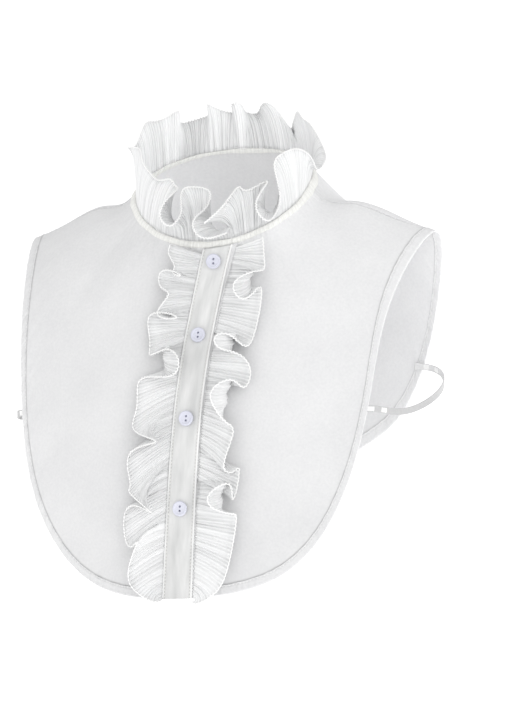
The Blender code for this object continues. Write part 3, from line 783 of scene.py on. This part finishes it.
def even_places(points, count):
    """Evenly spaced places along a line of points, as fractional row numbers."""
    way = way_along(points)
    return np.interp(np.linspace(0, way[-1], count), way, np.arange(len(points)))


def spread_pleats(folds_edge, pitch):
    """The free edge splined through the folds, with pleat columns spread evenly along it. Gives each
    column's place among the folds and its point."""
    rows = np.arange(len(folds_edge))
    fine = spline_weights(rows, np.linspace(0, rows[-1], EDGE_SAMPLES)) @ folds_edge
    pleats = int(round(way_along(fine)[-1] / pitch))
    places = even_places(fine, PLEAT_COLUMNS * pleats + 1) * rows[-1] / (EDGE_SAMPLES - 1)
    return places, spline_weights(rows, places) @ folds_edge


def ruffle_sheet(root, control, edge, rows, depth, valley_painted_shade, seed):
    """Pleated cloth between seam and free edge. Each pleat line is an arc from root past control to edge.
    The pleats lift it by one less twice the half-angle's sine, so ridges are sharp and valleys round, and
    each pleat has its own seeded depth. Its colour has painted shade in the valleys, just inside the roll and
    near the seam, and painted light and shade on the gathers."""
    along = np.linspace(0, 1, rows)[:, None, None]
    arcs = (1 - along) ** 2 * root + 2 * along * (1 - along) * control + along**2 * edge
    out = unit(np.cross(np.gradient(arcs, axis=1), np.gradient(arcs, axis=0)))
    along = along[..., 0]
    column = np.arange(root.shape[0])
    count = len(column) // PLEAT_COLUMNS + 2
    pick = np.random.default_rng(seed)
    own_depth = np.repeat(pick.uniform(0.55, 1.25, count), PLEAT_COLUMNS)[: len(column)]
    hollow = np.sin(np.pi * (column % PLEAT_COLUMNS) / PLEAT_COLUMNS)
    lift = (1 - 2 * hollow) * own_depth * (0.7 + 0.3 * along) * depth
    gather = wave(column / PLEAT_COLUMNS, GATHER_PLEATS, seed + 7) * (1 - along) ** 2
    lift = lift + gather * 4 * along * GATHER_DEPTH
    # Painted shade in the valleys and just inside the roll; painted light and shade on the gathers; painted
    # shade by the seam.
    tone = 1 - (1 - valley_painted_shade) * hollow * own_depth - 0.06 * bell(along - 0.93, 0.05)
    tone = tone + 0.07 * gather - 0.05 * (1 - along) ** 3
    return arcs + out * lift[..., None], tone, out


def make_roll(name, edge, out, seed):
    """The overlocked edge: a round profile carried along the free edge, knotted by the overlock's loops."""
    edge, out = edge[::2], out[::2]
    along = unit(np.gradient(edge, axis=0))
    out = unit(out - along * (out * along).sum(1, keepdims=True))
    other = np.cross(out, along)
    angle = np.linspace(0, 2 * np.pi, 8)[:-1][None, :, None]
    knots = ROLL_RADIUS * (1 + 0.02 * wave(np.arange(len(edge)), 2.6, seed))[:, None, None]
    points = edge[:, None] + knots * (np.cos(angle) * out[:, None] + np.sin(angle) * other[:, None])
    piece = lay_mesh(name, points, roll_paint, round_across=True)
    settle(piece, "ruffle_cloth")
    return piece


def finish_ruffle(name, points, tone, normal, roll_seed):
    """Lays a ruffle's cloth and the roll along its free edge; gives both."""
    piece = lay_mesh(f"{name}_cloth", points, ruffle_paint, tone)
    give_wall(piece, RUFFLE_WALL)
    settle(piece, "ruffle_cloth", name)
    return piece, make_roll(f"{name}_roll", points[-1], normal[-1], roll_seed)


RUFFLE_LIGHT = (0.95, 0.953, 0.955)
RUFFLE_DARK = (0.93, 0.935, 0.94)
ruffle_paint = cloth_paint("ruffle_cloth", RUFFLE_LIGHT, RUFFLE_DARK, 0.8, 0.1, 0.4 * MM, 0.5, 0.15)
roll_paint = thread_paint("edge_thread", (0.99, 0.99, 0.985))


def make_neck_ruffle():
    """The neck ruffle: folds give the free edge, and pleats run from it down to the seam. Its ridges face
    the photograph's side in front and behind, so their lift turns over beside the neck. The back is painted
    lighter, with deeper painted shade in its valleys, and painted shade where the edge hangs far out."""
    turn, rise, fall, drift = np.array(NECK_FOLDS, float).T
    out, way = neck_ways(turn)
    swing = out * fall[:, None] + way * drift[:, None] + UP * rise[:, None]
    places, edge = spread_pleats(body(turn, 0.0) + swing * MM, NECK_PITCH)
    turns = np.interp(places, np.arange(len(turn)), turn)
    out, way = neck_ways(turns)
    root = body(turns, 0.0) + UP * NECK_ROOT_UP
    outward = ((edge - root) * out).sum(1)[:, None]
    sideways = ((edge - root) * way).sum(1)[:, None]
    upward = (edge - root)[:, 2:]
    control = root + UP * (NECK_RUFFLE_STAND + 0.5 * upward)
    control = control + out * (0.15 * outward) + way * (0.25 * sideways)
    facing = np.tanh(4 * np.cos(np.radians(turns - PHOTO_TURN)) + 0.4)
    at_back = 0.5 - 0.5 * facing
    # Deeper painted shade in the valleys at the back.
    valley_painted_shade = RUFFLE_VALLEY_PAINTED_SHADE - 0.03 * at_back
    depth = NECK_PLEAT_DEPTH * facing
    points, tone, normal = ruffle_sheet(root, control, edge, NECK_RUFFLE_ROWS, depth, valley_painted_shade, 81)
    # Painted light on the back of the ruffle, turning to painted shade in the recesses where its edge hangs far
    # out.
    recess = np.clip(outward[:, 0] / RECESS_PAINTED_SHADE_REACH, 0, 1)
    return finish_ruffle("neck_ruffle", points, tone * (0.97 + at_back * (0.13 - 0.18 * recess)), normal, 82)


neck_ruffle, neck_roll = make_neck_ruffle()

# Button stand and placket
# The stand is a folded strip along the left front. The placket is a folded satin strip, 22.5 mm wide,
# topstitched 2 mm inside both edges, which leaves a narrow lip outside a groove and a soft lengthwise
# sheen between.
PLACKET_WIDTH = 22.5 * MM
STAND_SHOWS = 4.0 * MM
STAND_LIFT = 1.85 * MM
PLACKET_LIFT = 3.0 * MM
GROOVE_ACROSS = 9.4 * MM
LIP_ACROSS = 10.6 * MM
PROFILE_HALF = 12.0
PLACKET_HALF_FACE = (
    # across, out (mm), from one edge to near the middle of the face
    (12.0, 0.0), (11.9, 0.45), (11.4, 0.75), (10.8, 0.75), (10.3, 0.55), (10.0, 0.3),
    (9.6, 0.45), (8.8, 0.62), (7.2, 0.7), (5.0, 0.76), (2.5, 0.8),
)
PLACKET_BACK = ((11.6, -0.5), (6.0, -0.6), (0.0, -0.6), (-6.0, -0.6), (-11.6, -0.5))
PLACKET_PROFILE = (
    *((-across, out) for across, out in PLACKET_HALF_FACE),
    (0.0, 0.82),
    *PLACKET_HALF_FACE[::-1],
    *PLACKET_BACK,
)
GROOVE_POINTS = (5, 17)


def stand_shows(reach):
    """How far the button stand shows past the placket, most at the neck."""
    return STAND_SHOWS * (0.15 + 0.85 * np.exp(-7 * np.asarray(reach)))


def satin_paint():
    """Satin: long floats run down the strip as a fine grain in the bump, and long stretched blotches of
    painted sheen drift its colour lighter and darker.
    """
    paint, tree, shader = new_paint("placket_satin", 0.42, 0.6, 0.1)
    shader.inputs["Anisotropic"].default_value = 0.5
    # Painted sheen: long lengthwise streaks of lighter and darker colour.
    painted_sheen = grain(tree, 1.0, detail=3.0, stretch=(150.0, 28.0, 1.0))
    colour = two_tones(tree, painted_sheen, (0.66, 0.665, 0.66), (0.84, 0.84, 0.835), 0.3, 0.7)
    wire(tree, toned(tree, colour), shader.inputs["Base Color"])
    floats = grain(tree, 1.0, detail=3.0, stretch=(2600.0, 160.0, 1.0))
    raise_bump(tree, shader, floats, 0.18, 0.08 * MM)
    return paint


def strip_points(middle_x, reach, across, out):
    """A strip's profile carried down the front: each point keeps its distance from the middle line."""
    x = middle_x + across
    reach = np.broadcast_to(reach, x.shape)
    return lifted(turn_at(x, reach), reach, out)


placket_top = 5.6 * MM / section_length(10.0)
placket_reach = np.linspace(placket_top, 1.0, 330)[:, None]
placket_way = placket_reach * section_length(5.0)
stand_profile = np.array(PLACKET_PROFILE)
stand_half = (PLACKET_WIDTH - MM + stand_shows(placket_reach)) / 2
stand_middle = placket_x(placket_reach) - PLACKET_WIDTH / 2 + MM + stand_half
stand_across = stand_profile[None, :, 0] / PROFILE_HALF * stand_half
stand_out = STAND_LIFT + stand_profile[None, :, 1] * 0.6 * MM * (1 + 0.1 * wave(placket_way, 4 * MM, 91))
stand_points = strip_points(stand_middle[::2], placket_reach[::2], stand_across[::2], stand_out[::2])
stand = lay_mesh("under_placket_cloth", stand_points, panel_paint, round_across=True)
settle(stand, "panel_cloth", "under_placket")

across, out = np.array(PLACKET_PROFILE).T[:, None, :] * MM
across = across * PLACKET_WIDTH / (2 * PROFILE_HALF * MM)
near_groove = bell(np.abs(across) - 9.0 * MM, 1.6 * MM)
face_share = np.clip(1 - (across / (9 * MM)) ** 2, 0, 1) * (out > 0)
pucker = 0.13 * MM * wave(placket_way + 0.2 * across, 3.1 * MM, 92) * near_groove * (out > 0)
ripple = wave(placket_way + 1.5 * across, 62 * MM, 93) + 0.5 * wave(placket_way, 27 * MM, 94)
ripple = face_share * 0.5 * MM * ripple
settle_in = 0.9 * MM * np.exp(-(placket_way - placket_way[0]) / (7 * MM))
placket_out = PLACKET_LIFT + out + pucker + ripple - settle_in
placket_points = strip_points(placket_x(placket_reach), placket_reach, across, placket_out)
# Painted shade in the grooves, a painted highlight on the lips, and colour darker towards the bottom.
groove_painted_shade = 0.3 * bell(np.abs(across) - GROOVE_ACROSS, 0.35 * MM)
lip_painted_highlight = 0.2 * bell(np.abs(across) - LIP_ACROSS, 0.7 * MM)
placket_painted_light_and_shade = 0.98 - groove_painted_shade + lip_painted_highlight - 0.13 * placket_reach
placket = lay_mesh("placket_satin_strip", placket_points, satin_paint(), placket_painted_light_and_shade, round_across=True)
settle(placket, "placket_satin", "placket")
placket_stitches = []
for groove in GROOVE_POINTS:
    groove_line = placket_points[:, groove]
    groove_out = body_normal(turn_at(groove_line[:, 0], placket_reach[:, 0]), placket_reach[:, 0])
    groove_line = groove_line + groove_out * 0.08 * MM
    placket_stitches.append(stitch_line(groove_line, groove_out, 2.6 * MM, 2.0 * MM, 0.2 * MM))
make_rods("placket_stitches", np.concatenate(placket_stitches), ivory_thread, "placket_satin")

# Placket ruffles
# Two ruffles of the same pleated chiffon, gathered and sewn beside the placket, one along each edge. Their
# free edges have the same overlocked roll and lie on the fronts in uneven folds that curl over.
PLACKET_PITCH = 2.9 * MM
RUFFLE_TOP = 0.035
RUFFLE_TUCK = 0.6 * MM
RUFFLE_OFF = 2.05 * MM
PLACKET_RUFFLE_ROWS = 13
PLACKET_PLEAT_DEPTH = 0.6 * MM
CURL_FROM = 11 * MM
CURL_OVER = 14 * MM
CURL_OUT = 24 * MM
PUFF_OUT = 6 * MM
RIGHT_FOLDS = (
    # at, edge, out, lift
    (0.00, -0.02, 25, 5),
    (0.02, 0.01, 24, 7),
    (0.04, 0.045, 17, 9),
    (0.055, 0.07, 15, 12),
    (0.06, 0.075, 7, 17),
    (0.075, 0.06, 27, 5),
    (0.10, 0.11, 25, 8),
    (0.12, 0.14, 15, 14),
    (0.16, 0.195, 22, 9),
    (0.17, 0.205, 2, 19),
    (0.185, 0.19, 29, 5),
    (0.225, 0.265, 26, 6),
    (0.25, 0.31, 22, 9),
    (0.275, 0.30, 5, 20),
    (0.30, 0.33, -8, 25),
    (0.315, 0.37, 0, 18),
    (0.335, 0.375, 28, 6),
    (0.385, 0.45, 29, 5),
    (0.43, 0.52, 27, 9),
    (0.47, 0.55, 4, 22),
    (0.50, 0.58, 31, 5),
    (0.56, 0.665, 29, 6),
    (0.585, 0.70, 26, 9),
    (0.63, 0.75, 3, 23),
    (0.66, 0.735, 30, 5),
    (0.75, 0.845, 28, 7),
    (0.775, 0.835, 17, 14),
    (0.845, 0.92, 27, 6),
    (0.93, 0.985, 20, 4),
    (0.98, 1.01, 5, 4),
    (1.00, 1.00, -2, 3),
)
LEFT_FOLDS = (
    # at, edge, out, lift
    (0.00, -0.02, 20, 5),
    (0.03, 0.055, 28, 6),
    (0.04, 0.08, 29, 9),
    (0.06, 0.095, 23, 20),
    (0.085, 0.135, 17, 27),
    (0.10, 0.17, 26, 20),
    (0.115, 0.13, 31, 7),
    (0.14, 0.165, 34, 5),
    (0.175, 0.215, 35, 5),
    (0.235, 0.29, 33, 8),
    (0.24, 0.275, 24, 20),
    (0.25, 0.275, 14, 27),
    (0.265, 0.305, 16, 24),
    (0.29, 0.315, 28, 13),
    (0.325, 0.355, 37, 6),
    (0.365, 0.40, 35, 9),
    (0.375, 0.385, 28, 19),
    (0.395, 0.415, 17, 27),
    (0.42, 0.46, 19, 24),
    (0.455, 0.495, 25, 12),
    (0.48, 0.525, 29, 8),
    (0.55, 0.61, 24, 10),
    (0.565, 0.63, 30, 6),
    (0.575, 0.62, 34, 4),
    (0.62, 0.68, 33, 5),
    (0.645, 0.705, 31, 8),
    (0.655, 0.665, 31, 19),
    (0.675, 0.695, 19, 27),
    (0.695, 0.735, 21, 24),
    (0.72, 0.75, 30, 11),
    (0.735, 0.755, 33, 5),
    (0.78, 0.805, 32, 4),
    (0.86, 0.915, 27, 4),
    (0.94, 0.985, 18, 4),
    (0.98, 1.015, 5, 4),
    (1.00, 1.01, 0, 3),
)

def placket_seam(at, side):
    """Where a placket ruffle is sewn, with the way out from the placket and the way off the front."""
    at = np.asarray(at, float)
    wanted = RUFFLE_TOP + (1 - RUFFLE_TOP) * at
    reach = np.clip(wanted, 0.0, 1.0)
    beside = PLACKET_WIDTH / 2 - RUFFLE_TUCK + (stand_shows(reach) if side > 0 else 0.0)
    turn = turn_at(placket_x(reach) + side * beside, reach)
    off = body_normal(turn, reach)
    down = body_down(turn, reach)
    past = (wanted - reach)[:, None] * section_length(0.0)
    out = unit(np.cross(off, down)) * side
    return body(turn, reach) + off * RUFFLE_OFF + down * past, out, off


def make_placket_ruffle(name, folds, side, seed):
    """A placket ruffle: the folds give the free edge, and the pleats run from it back to the seam. Where the
    edge stands high, the pleats swing further out and less up, so the fold curls over."""
    at, edge_at, far, lift = np.array(folds, float).T
    root, out, off = placket_seam(at, side)
    slip = placket_seam(edge_at, side)[0] - root
    folds_edge = root + out * (far * MM)[:, None] + off * (lift * MM)[:, None] + slip
    places, edge = spread_pleats(folds_edge, PLACKET_PITCH)
    root, out, off = placket_seam(np.interp(places, np.arange(len(at)), at), side)
    outward = ((edge - root) * out).sum(1)[:, None]
    upward = ((edge - root) * off).sum(1)[:, None]
    slide = edge - root - out * outward - off * upward
    curl = np.clip((upward - CURL_FROM) / CURL_OVER, 0, 1)
    puff = out * (PUFF_OUT + 0.25 * outward + CURL_OUT * curl)
    control = root + 0.35 * slide + puff + off * (0.45 * upward * (1 - 0.8 * curl))
    points, tone, normal = ruffle_sheet(
        root, control, edge, PLACKET_RUFFLE_ROWS, PLACKET_PLEAT_DEPTH, RUFFLE_VALLEY_PAINTED_SHADE, seed
    )
    return finish_ruffle(name, points, 0.94 * tone, normal, seed + 1)


right_ruffle, right_roll = make_placket_ruffle("placket_ruffle_right", RIGHT_FOLDS, -1, 101)
left_ruffle, left_roll = make_placket_ruffle("placket_ruffle_left", LEFT_FOLDS, 1, 111)

# Buttons
# Four round two-hole shirt buttons, 11.5 mm across, moulded in pale lavender-blue with a raised rim and a
# shallow dish. Thread through the two holes, one above the other, holds each to the stand.
BUTTON_REACH = (0.061, 0.267, 0.493, 0.742)
BUTTON_PROFILE = (
    # from the middle, above the back (mm)
    (0.0, 1.6), (1.5, 1.6), (3.0, 1.62), (3.7, 1.72), (4.1, 2.05), (4.5, 2.32), (4.9, 2.4), (5.3, 2.3),
    (5.6, 2.0), (5.75, 1.5), (5.7, 1.0), (5.3, 0.5), (4.6, 0.2), (3.0, 0.05), (0.0, 0.0),
)
HOLE_PROFILE = ((0.85, 0.0), (0.85, 8.0))
BUTTON_LIFT = 0.95 * MM
BUTTON_HOLE_OFF = 1.6 * MM


def button_paint():
    """Moulded button: pale lavender-blue with faint clouding and a low gloss."""
    paint, tree, shader = new_paint("button_plastic", 0.3)
    colour = two_tones(tree, grain(tree, 180.0), (0.655, 0.665, 0.76), (0.725, 0.735, 0.82))
    wire(tree, colour, shader.inputs["Base Color"])
    return paint


def flat_paint(name, colour, roughness):
    """A plain even finish with a faint grain in its roughness."""
    paint, tree, shader = new_paint(name, roughness)
    shader.inputs["Base Color"].default_value = (*colour, 1)
    spread = tree.nodes.new("ShaderNodeMapRange")
    spread.inputs["To Min"].default_value = roughness - 0.08
    spread.inputs["To Max"].default_value = roughness + 0.08
    wire(tree, grain(tree, 900.0), spread.inputs["Value"])
    wire(tree, spread.outputs[0], shader.inputs["Roughness"])
    return paint


def turned_points(profile, spot, out, down, sides):
    """A profile turned about the way out: its distance from the middle swings round, its height stays."""
    radius, height = np.array(profile).T[:, :, None] * MM
    angle = np.linspace(0, 2 * np.pi, sides + 1)[:-1][None, :]
    side = np.cross(out, down)
    flat = (radius * np.cos(angle))[..., None] * down + (radius * np.sin(angle))[..., None] * side
    return spot + flat + height[..., None] * out


button_plastic = button_paint()
hole_thread = flat_paint("button_thread", (0.30, 0.31, 0.42), 0.7)
thread_rods = []
for number, reach in enumerate(BUTTON_REACH, start=1):
    button_turn = turn_at(placket_x(reach), reach)
    button_out = body_normal(button_turn, reach).reshape(3)
    button_down = body_down(button_turn, reach).reshape(3)
    button_spot = body(button_turn, reach).reshape(3) + button_out * (PLACKET_LIFT + BUTTON_LIFT)
    disc = turned_points(BUTTON_PROFILE, button_spot, button_out, button_down, 64)
    button = lay_mesh(f"button_{number}_moulded", disc, button_plastic, round_across=True)
    drills = []
    for end in (-1, 1):
        hole_middle = button_spot + button_down * end * BUTTON_HOLE_OFF
        hole = turned_points(HOLE_PROFILE, hole_middle - button_out * 2 * MM, button_out, button_down, 20)
        drill = lay_mesh(f"drill_{number}_{end}", hole[::-1], button_plastic, round_across=True)
        cut = button.modifiers.new("hole", "BOOLEAN")
        cut.operation = "DIFFERENCE"
        cut.solver = "EXACT"
        cut.object = drill
        drills.append(drill)
        thread_rods.append((hole_middle + button_out * 0.9 * MM, button_down, button_out))
    bpy.context.view_layer.update()
    cut_mesh = bpy.data.meshes.new_from_object(button.evaluated_get(bpy.context.evaluated_depsgraph_get()))
    button.modifiers.clear()
    button.data = cut_mesh
    cut_mesh.shade_smooth()
    for drill in drills:
        bpy.data.objects.remove(drill, do_unlink=True)
    settle(button, "button_plastic", f"button_{number}")
rod_centre, rod_along, rod_out = (np.array(part) for part in zip(*thread_rods))
button_rods = stitch_points(rod_centre, rod_along, rod_out, 1.5 * MM, 0.5 * MM)
make_rods("button_threads", button_rods, hole_thread, "button_plastic")

# Elastics
# A flat woven elastic, 5 mm wide, passes under each arm from the front hem to the back hem. It's sewn inside
# both hems with a bar of white thread, and a second bar holds its turned end.
ELASTIC_PATHS = {  # middle points of each strap in mm; the right one lies close in
    1: ((155, -20, -163), (169, 15, -150), (160, 40, -138)),
    -1: ((-155, -17, -163), (-164, 14, -150), (-156, 42, -137)),
}
ELASTIC_FRONT_TURN = 52.5
ELASTIC_BACK_TURN = 129.5
ELASTIC_UNDER = 1.85 * MM
ELASTIC_FACE = (
    # across, out (mm), over one face: five rounded cords side by side
    (-2.4, 0.4), (-2.0, 0.5), (-1.6, 0.38), (-1.0, 0.5), (-0.5, 0.38), (0.0, 0.5),
    (0.5, 0.38), (1.0, 0.5), (1.6, 0.38), (2.0, 0.5), (2.4, 0.4),
)
ELASTIC_BACK = tuple((across, -out) for across, out in ELASTIC_FACE[::-1])
ELASTIC_PROFILE = ((-2.5, 0.0), *ELASTIC_FACE, (2.5, 0.0), *ELASTIC_BACK)
ELASTIC_LIGHT = (0.59, 0.59, 0.59)
ELASTIC_DARK = (0.52, 0.52, 0.525)
TACK_STARTS = (6.5, 18.0)
TACK_STARTS_BACK = (-27.0, -14.0)


def elastic_end(turn, side):
    """Two points inside a hem where the elastic is sewn on, the outer one first."""
    reach = 1 - 1.5 * MM / section_length(turn)
    normal = body_normal(side * turn, reach)
    outer = lifted(side * turn, reach, -ELASTIC_UNDER)
    level = unit(np.cross(normal, UP))
    inner = outer - level * np.sign(level[0] * side) * 6 * MM
    return [outer, inner - normal * 1.2 * MM]


elastic_cloth = cloth_paint("elastic_cloth", ELASTIC_LIGHT, ELASTIC_DARK, 0.8, 0.2, 0.8 * MM, 0.4, 0.3)
tack_rods = []
for side, elastic_name in ((1, "elastic_left"), (-1, "elastic_right")):
    strap_middle = np.array(ELASTIC_PATHS[side]) * MM
    strap_middle[:, 2] += SHOULDER_LEAN * strap_middle[:, 0]
    strap_front = elastic_end(ELASTIC_FRONT_TURN, side)
    strap_back = elastic_end(ELASTIC_BACK_TURN, side)
    knots = np.array([*strap_front[::-1], *strap_middle, *strap_back])
    knot_way = way_along(knots)
    strap = spline_weights(knot_way, np.linspace(0, knot_way[-1], 800)) @ knots
    strap = spline_weights(knot_way, even_places(strap, 150) * knot_way[-1] / 799) @ knots
    strap_along = unit(np.gradient(strap, axis=0))
    strap_up = unit(UP - strap_along * strap_along[:, 2:])
    strap_out = np.cross(strap_along, strap_up)
    strap_across, strap_lift = np.array(ELASTIC_PROFILE).T[:, None, :, None] * MM
    strap_points = strap[:, None] + strap_up[:, None] * strap_across + strap_out[:, None] * strap_lift
    # Painted light: the strap's colour is lighter towards its back end, where its inner face shows and lies in
    # shade.
    strap_painted_light = 1 + 0.45 * np.clip(strap[:, 1:2] / (40 * MM), 0, 1)
    elastic = lay_mesh(f"{elastic_name}_woven", strap_points, elastic_cloth, strap_painted_light, round_across=True)
    settle(elastic, "elastic_cloth", elastic_name)
    strap_way = way_along(strap)
    for bar_start in (*TACK_STARTS, *(strap_way[-1] / MM + start for start in TACK_STARTS_BACK)):
        bar_way = (bar_start + np.linspace(0, 5.0, 12)) * MM
        places = np.interp(bar_way, strap_way, np.arange(len(strap)))
        bar_up = unit(along_line(strap_up, places))
        for face in (1, -1):
            centre = along_line(strap, places) + along_line(strap_out, places) * face * 0.5 * MM
            bar_out = unit(along_line(strap_out, places)) * face
            tack_rods.append(stitch_points(centre, bar_up, bar_out, 4.8 * MM, 0.26 * MM))
make_rods("elastic_tacks", np.concatenate(tack_rods), roll_paint, "elastic_cloth")

# Floor, light and camera
# A plain white floor well below the worn collar, soft even light from all round, a large soft sun from the
# front right and a faint fill from the left, as in a bright studio.
FLOOR_Z = -1.2
FLOOR_HALF = 300.0
CAMERA_AZIMUTH = np.radians(22.0)
CAMERA_ELEVATION = np.radians(3.0)
CAMERA_DISTANCE = 10.0
VIEW_HEIGHT = 0.54
VIEW_RIGHT = 0.027
VIEW_UP = -0.12375
floor_mesh = bpy.data.meshes.new("floor")
floor_corners = [(x * FLOOR_HALF, y * FLOOR_HALF, FLOOR_Z) for x, y in ((-1, -1), (1, -1), (1, 1), (-1, 1))]
floor_mesh.from_pydata(floor_corners, [], [(0, 1, 2, 3)])
floor = bpy.data.objects.new("floor", floor_mesh)
bpy.context.scene.collection.objects.link(floor)
floor_white = flat_paint("floor_white", (0.95, 0.95, 0.95), 0.9)
floor_glow = floor_white.node_tree.nodes["Principled BSDF"]
floor_glow.inputs["Emission Color"].default_value = (1, 1, 1, 1)
floor_glow.inputs["Emission Strength"].default_value = 0.42
floor_mesh.materials.append(floor_white)

world = bpy.data.worlds.new("studio")
bpy.context.scene.world = world
world.use_nodes = True
backdrop = world.node_tree.nodes["Background"]
backdrop.inputs["Color"].default_value = (1.0, 1.0, 1.0, 1)
backdrop.inputs["Strength"].default_value = 0.81
bright = world.node_tree.nodes.new("ShaderNodeBackground")
bright.inputs["Color"].default_value = (1, 1, 1, 1)
bright.inputs["Strength"].default_value = 1.05
sight = world.node_tree.nodes.new("ShaderNodeLightPath")
choose = world.node_tree.nodes.new("ShaderNodeMixShader")
wire(world.node_tree, sight.outputs["Is Camera Ray"], choose.inputs["Fac"])
wire(world.node_tree, backdrop.outputs[0], choose.inputs[1])
wire(world.node_tree, bright.outputs[0], choose.inputs[2])
wire(world.node_tree, choose.outputs[0], world.node_tree.nodes["World Output"].inputs["Surface"])


def standing_at(right, upward, back, spot):
    """The matrix of a light or camera whose three axes and place are given."""
    rows = np.column_stack([right, upward, back, np.asarray(spot, float)])
    return Matrix([*rows.tolist(), [0, 0, 0, 1]])


def soft_light(name, spot, aim, size, power):
    """A square area light at a spot, turned to face an aim."""
    lamp = bpy.data.lights.new(name, "AREA")
    lamp.size = size
    lamp.energy = power
    light = bpy.data.objects.new(name, lamp)
    bpy.context.scene.collection.objects.link(light)
    back = unit(np.array(spot, float) - np.array(aim, float))
    right = unit(np.cross(np.array([0.0, 0.0, 1.0]), back))
    light.matrix_world = standing_at(right, np.cross(back, right), back, spot)


soft_light("fill_light", (-1.8, -1.2, 0.5), (0, 0, -0.1), 1.5, 2)
sun_lamp = bpy.data.lights.new("sun_light", "SUN")
sun_lamp.angle = np.radians(50.0)
sun_lamp.energy = 0.85
sun = bpy.data.objects.new("sun_light", sun_lamp)
bpy.context.scene.collection.objects.link(sun)
sun_back = unit(np.array([0.85, -0.9, 0.3]))
sun_right = unit(np.cross(np.array([0.0, 0.0, 1.0]), sun_back))
sun.matrix_world = standing_at(sun_right, np.cross(sun_back, sun_right), sun_back, (0, 0, 2))

right = np.array([np.cos(CAMERA_AZIMUTH), np.sin(CAMERA_AZIMUTH), 0.0])
ahead = np.array([
    -np.sin(CAMERA_AZIMUTH) * np.cos(CAMERA_ELEVATION),
    np.cos(CAMERA_AZIMUTH) * np.cos(CAMERA_ELEVATION),
    -np.sin(CAMERA_ELEVATION),
])
upward = np.cross(right, ahead)
view_middle = right * VIEW_RIGHT + upward * VIEW_UP
camera_spot = view_middle - ahead * CAMERA_DISTANCE
lens = bpy.data.cameras.new("camera")
lens.sensor_fit = "VERTICAL"
lens.sensor_height = 36.0
lens.lens = 36.0 * CAMERA_DISTANCE / VIEW_HEIGHT
lens.clip_end = 1000.0
camera = bpy.data.objects.new("camera", lens)
bpy.context.scene.collection.objects.link(camera)
camera.matrix_world = standing_at(right, upward, -ahead, camera_spot)
bpy.context.scene.camera = camera
bpy.context.scene.view_settings.view_transform = "Standard"
